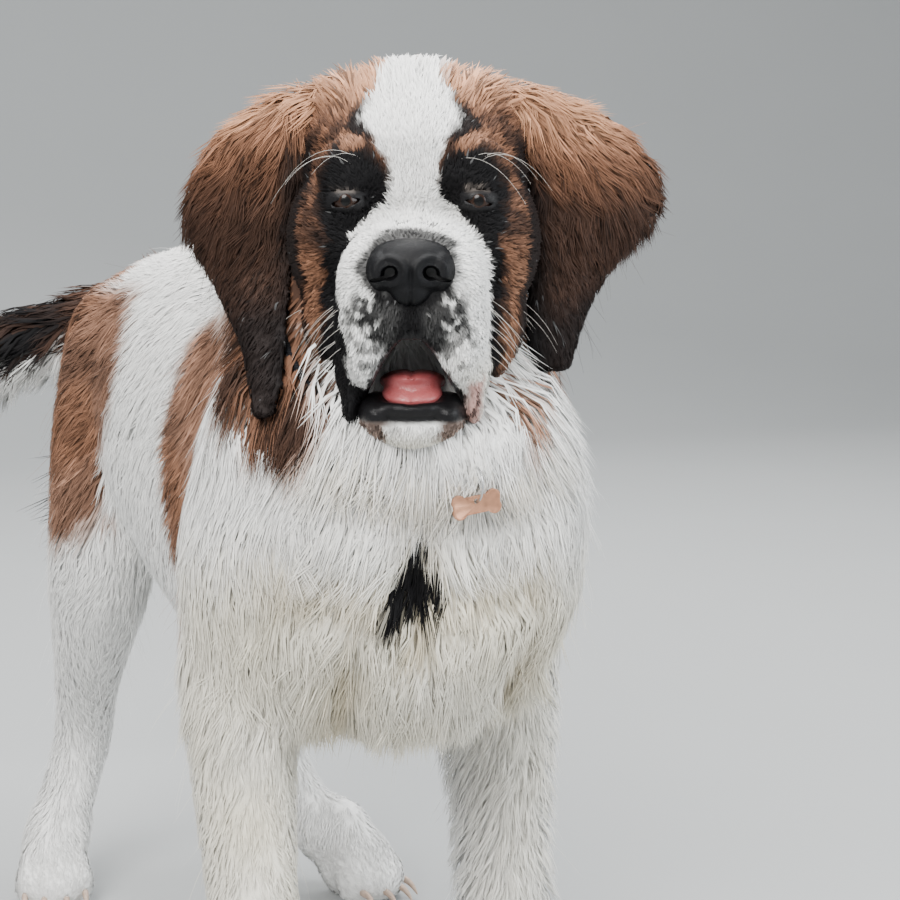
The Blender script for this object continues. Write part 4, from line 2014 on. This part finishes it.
class DOG_OT_skin(bpy.types.Operator):
    """Make the skin of body, head, ears and tail"""

    bl_idname = "dog.skin"
    bl_label = "Skin"

    def execute(self, context):
        obj = dog_skin(settings().fine, settings().broad)
        mesh = obj.data
        places, normals = coordinates(mesh), vertex_normals(mesh)
        corners, zones = corners_and_zones(mesh)
        of_vertex = np.zeros(len(places), np.int32)
        of_vertex[corners] = np.repeat(zones, 3)
        colours = marks(places, normals, of_vertex)
        x, f, z = to_head(places)
        inner = (of_vertex == HEAD) & (f > 0.015) & (f < 0.132) & (z < -0.094)
        inner &= mouth_distance(x, z) < 0.0004
        colours[inner] = np.array(MOUTH) * (0.25 + 0.75 * ramp(f[inner], 0.06, 0.12))[:, None]
        put_colours(mesh, colours)
        bare = mesh.attributes.new("bare", "FLOAT", "POINT")
        bald = ~hairy_places(places, of_vertex)
        bare.data.foreach_set("value", bald.astype(np.float32))
        nodes = [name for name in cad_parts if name.split("_")[0] in FLESH]
        settle(obj, "white_coat", skin_material(), *nodes)
        unwrap(obj)
        return {"FINISHED"}


class DOG_OT_coat(bpy.types.Operator):
    """Grow the coat over the skin, piece by piece"""

    bl_idname = "dog.coat"
    bl_label = "Coat"

    def execute(self, context):
        skin = finished_skin()
        pale = coat_material("pale coat", 0.65, 0.26)
        dark = coat_material("dark coat", 0.55, 0.65)
        for number, patch in enumerate(PATCHES):
            obj = grow_coat(skin, patch, settings().thickness, settings().seed + number)
            is_dark = "ear" in patch.name
            settle(obj, "dark_coat" if is_dark else "white_coat", dark if is_dark else pale, smooth=False)
        return {"FINISHED"}


class DOG_OT_face(bpy.types.Operator):
    """Make the eyes, nose and tongue"""

    bl_idname = "dog.face"
    bl_label = "Eyes, nose and tongue"

    def execute(self, context):
        ball_finish = eye_material()
        for name, side in SIDES.items():
            settle(eye_form(side), "eye", ball_finish, "eye_" + name)
        leather = pebble_material("nose leather", tuple(settings().nose_colour), 0.38, 0.0011, 0.0004)
        settle(nose_form(), "nose_leather", leather, "nose")
        settle(tongue_form(), "tongue", tongue_material(), "tongue")
        return {"FINISHED"}


class DOG_OT_claws(bpy.types.Operator):
    """Make the claws of the four paws"""

    bl_idname = "dog.claws"
    bl_label = "Claws"

    def execute(self, context):
        horn = horn_material()
        for name, values in PAWS.items():
            nodes = ["claw_%s_%d" % (name, number) for number in (1, 2, 3, 4)]
            settle(claw_forms(name, Paw(*values)), "claw_horn", horn, *nodes)
        return {"FINISHED"}


class DOG_OT_hairs(bpy.types.Operator):
    """Draw the whiskers, brow hairs and stray hairs"""

    bl_idname = "dog.hairs"
    bl_label = "Whiskers and stray hairs"

    def execute(self, context):
        skin = finished_skin()
        tree = hair_tree()
        finish = single_hair_material()
        for name, (lines, thick, colours), sides in (("whiskers", whisker_lines(skin), 6),
                                                     ("stray_hairs", long_hair_lines(skin), 3)):
            obj = line_object(name, lines, np.concatenate(thick))
            put_colours(obj.data, colours)
            run_tree(obj, tree, Sides=sides, Finish=finish)
            settle(obj, "white_coat", finish)
        return {"FINISHED"}


class DOG_OT_collar(bpy.types.Operator):
    """Make the collar with its stitches, the ring and the tag"""

    bl_idname = "dog.collar"
    bl_label = "Collar and tag"

    def execute(self, context):
        webbing = webbing_material()
        settle(collar_form(), "collar_webbing", webbing, "collar")
        lines = []
        for rise in (-0.38, 0.38):
            line = []
            for i in range(241):
                place, away = collar_frame(math.tau * i / 240)
                line.append(place + away * COLLAR_THICK + COLLAR_AXIS * (rise * COLLAR_WIDTH))
            lines.append(line)
        thread, _, _ = fresh("collar thread", Base_Color=(0.06, 0.058, 0.062), Roughness=0.6)
        obj = line_object("collar_stitches", lines, np.full(sum(map(len, lines)), 0.0004))
        run_tree(obj, stitch_tree(), Step=0.0040, Finish=thread)
        settle(obj, "collar_webbing", thread)
        settle(ring_form(), "ring_metal", metal_material("ring steel", (0.60, 0.60, 0.60), 0.30), "tag_ring")
        copper = metal_material("tag copper", tuple(settings().tag_colour), 0.45)
        settle(tag_form(), "tag_metal", copper, "tag", smooth=False)
        return {"FINISHED"}


class DOG_OT_stage(bpy.types.Operator):
    """Set up the floor, the soft lights and the camera"""

    bl_idname = "dog.stage"
    bl_label = "Stage"

    def execute(self, context):
        stage_floor()
        stage_lights()
        stage_camera()
        return {"FINISHED"}


def stage_floor():
    """A floor that curves up into a plain wall behind the puppy."""
    bm = bmesh.new()
    front, back, bend, height, wide = -4.0, 3.0, 2.0, 6.0, 9.0
    profile = [(front, 0.0)]
    for i in range(33):
        a = math.radians(90 * i / 32)
        profile.append((back + bend * math.sin(a), bend * (1 - math.cos(a))))
    profile.append((back + bend, height))
    rows = [[bm.verts.new((x, y, z)) for y, z in profile] for x in (-wide, wide)]
    for i in range(len(profile) - 1):
        bm.faces.new((rows[0][i], rows[1][i], rows[1][i + 1], rows[0][i + 1]))
    floor = object_of(bm, "floor")
    floor.data.shade_smooth()
    made, tree, shader = fresh("studio floor", Roughness=0.9, Specular_IOR_Level=0.2)
    tone = scaled(tree, noise(tree, on_object(tree), 3.0, 3.0), 0.05, 0.975)
    tint(tree, shader, settings().floor_colour, tone)
    floor.data.materials.append(made)


def stage_lights():
    target = Vector((0, -0.25, 0.5))
    for name, place, size, power, colour in (
        ("key", (-1.9, -2.6, 2.9), 2.4, 235.0, (1.0, 0.99, 0.97)),
        ("fill", (2.4, -2.1, 1.5), 2.4, 100.0, (0.93, 0.97, 1.0)),
        ("rim", (1.3, 2.4, 2.6), 1.6, 75.0, (1.0, 1.0, 1.0)),
        ("top", (0.0, 0.1, 3.4), 2.8, 150.0, (1.0, 1.0, 1.0)),
    ):
        lamp = bpy.data.lights.new(name, "AREA")
        lamp.shape = "DISK"
        lamp.size = size
        lamp.energy = power
        lamp.color = colour
        obj = linked(name, lamp)
        obj.location = place
        obj.rotation_euler = (target - Vector(place)).to_track_quat("-Z", "Y").to_euler()
    world = bpy.data.worlds.new("studio")
    world.use_nodes = True
    world.node_tree.nodes["Background"].inputs[0].default_value = (0.66, 0.68, 0.70, 1)
    bpy.context.scene.world = world


def stage_camera():
    lens = bpy.data.cameras.new("view")
    lens.lens = 88.0
    lens.sensor_width = 36.0
    lens.clip_start = 0.05
    camera = linked("view", lens)
    camera.location = VIEW_FROM + SHIFT
    camera.rotation_euler = (math.radians(90) - VIEW_PITCH, 0, VIEW_TURN)
    bpy.context.scene.camera = camera


class DOG_PT_panel(bpy.types.Panel):
    """Lists the puppy's settings and steps."""

    bl_label = "Saint Bernard puppy"
    bl_space_type = "VIEW_3D"
    bl_region_type = "UI"
    bl_category = "Dog"

    def draw(self, context):
        for name in DogSettings.__annotations__:
            self.layout.prop(context.scene.dog, name)
        for step in STEPS:
            self.layout.operator(step.bl_idname)


STEPS = (DOG_OT_skin, DOG_OT_coat, DOG_OT_face, DOG_OT_claws, DOG_OT_hairs, DOG_OT_collar, DOG_OT_stage)
CLASSES = (DogSettings, *STEPS, DOG_PT_panel)


def register():
    for made in CLASSES:
        bpy.utils.register_class(made)
    bpy.types.Scene.dog = PointerProperty(type=DogSettings)


def unregister():
    del bpy.types.Scene.dog
    for made in reversed(CLASSES):
        bpy.utils.unregister_class(made)


def main():
    register()
    for step in STEPS:
        group, name = step.bl_idname.split(".")
        getattr(getattr(bpy.ops, group), name)()


if __name__ == "__main__":
    main()
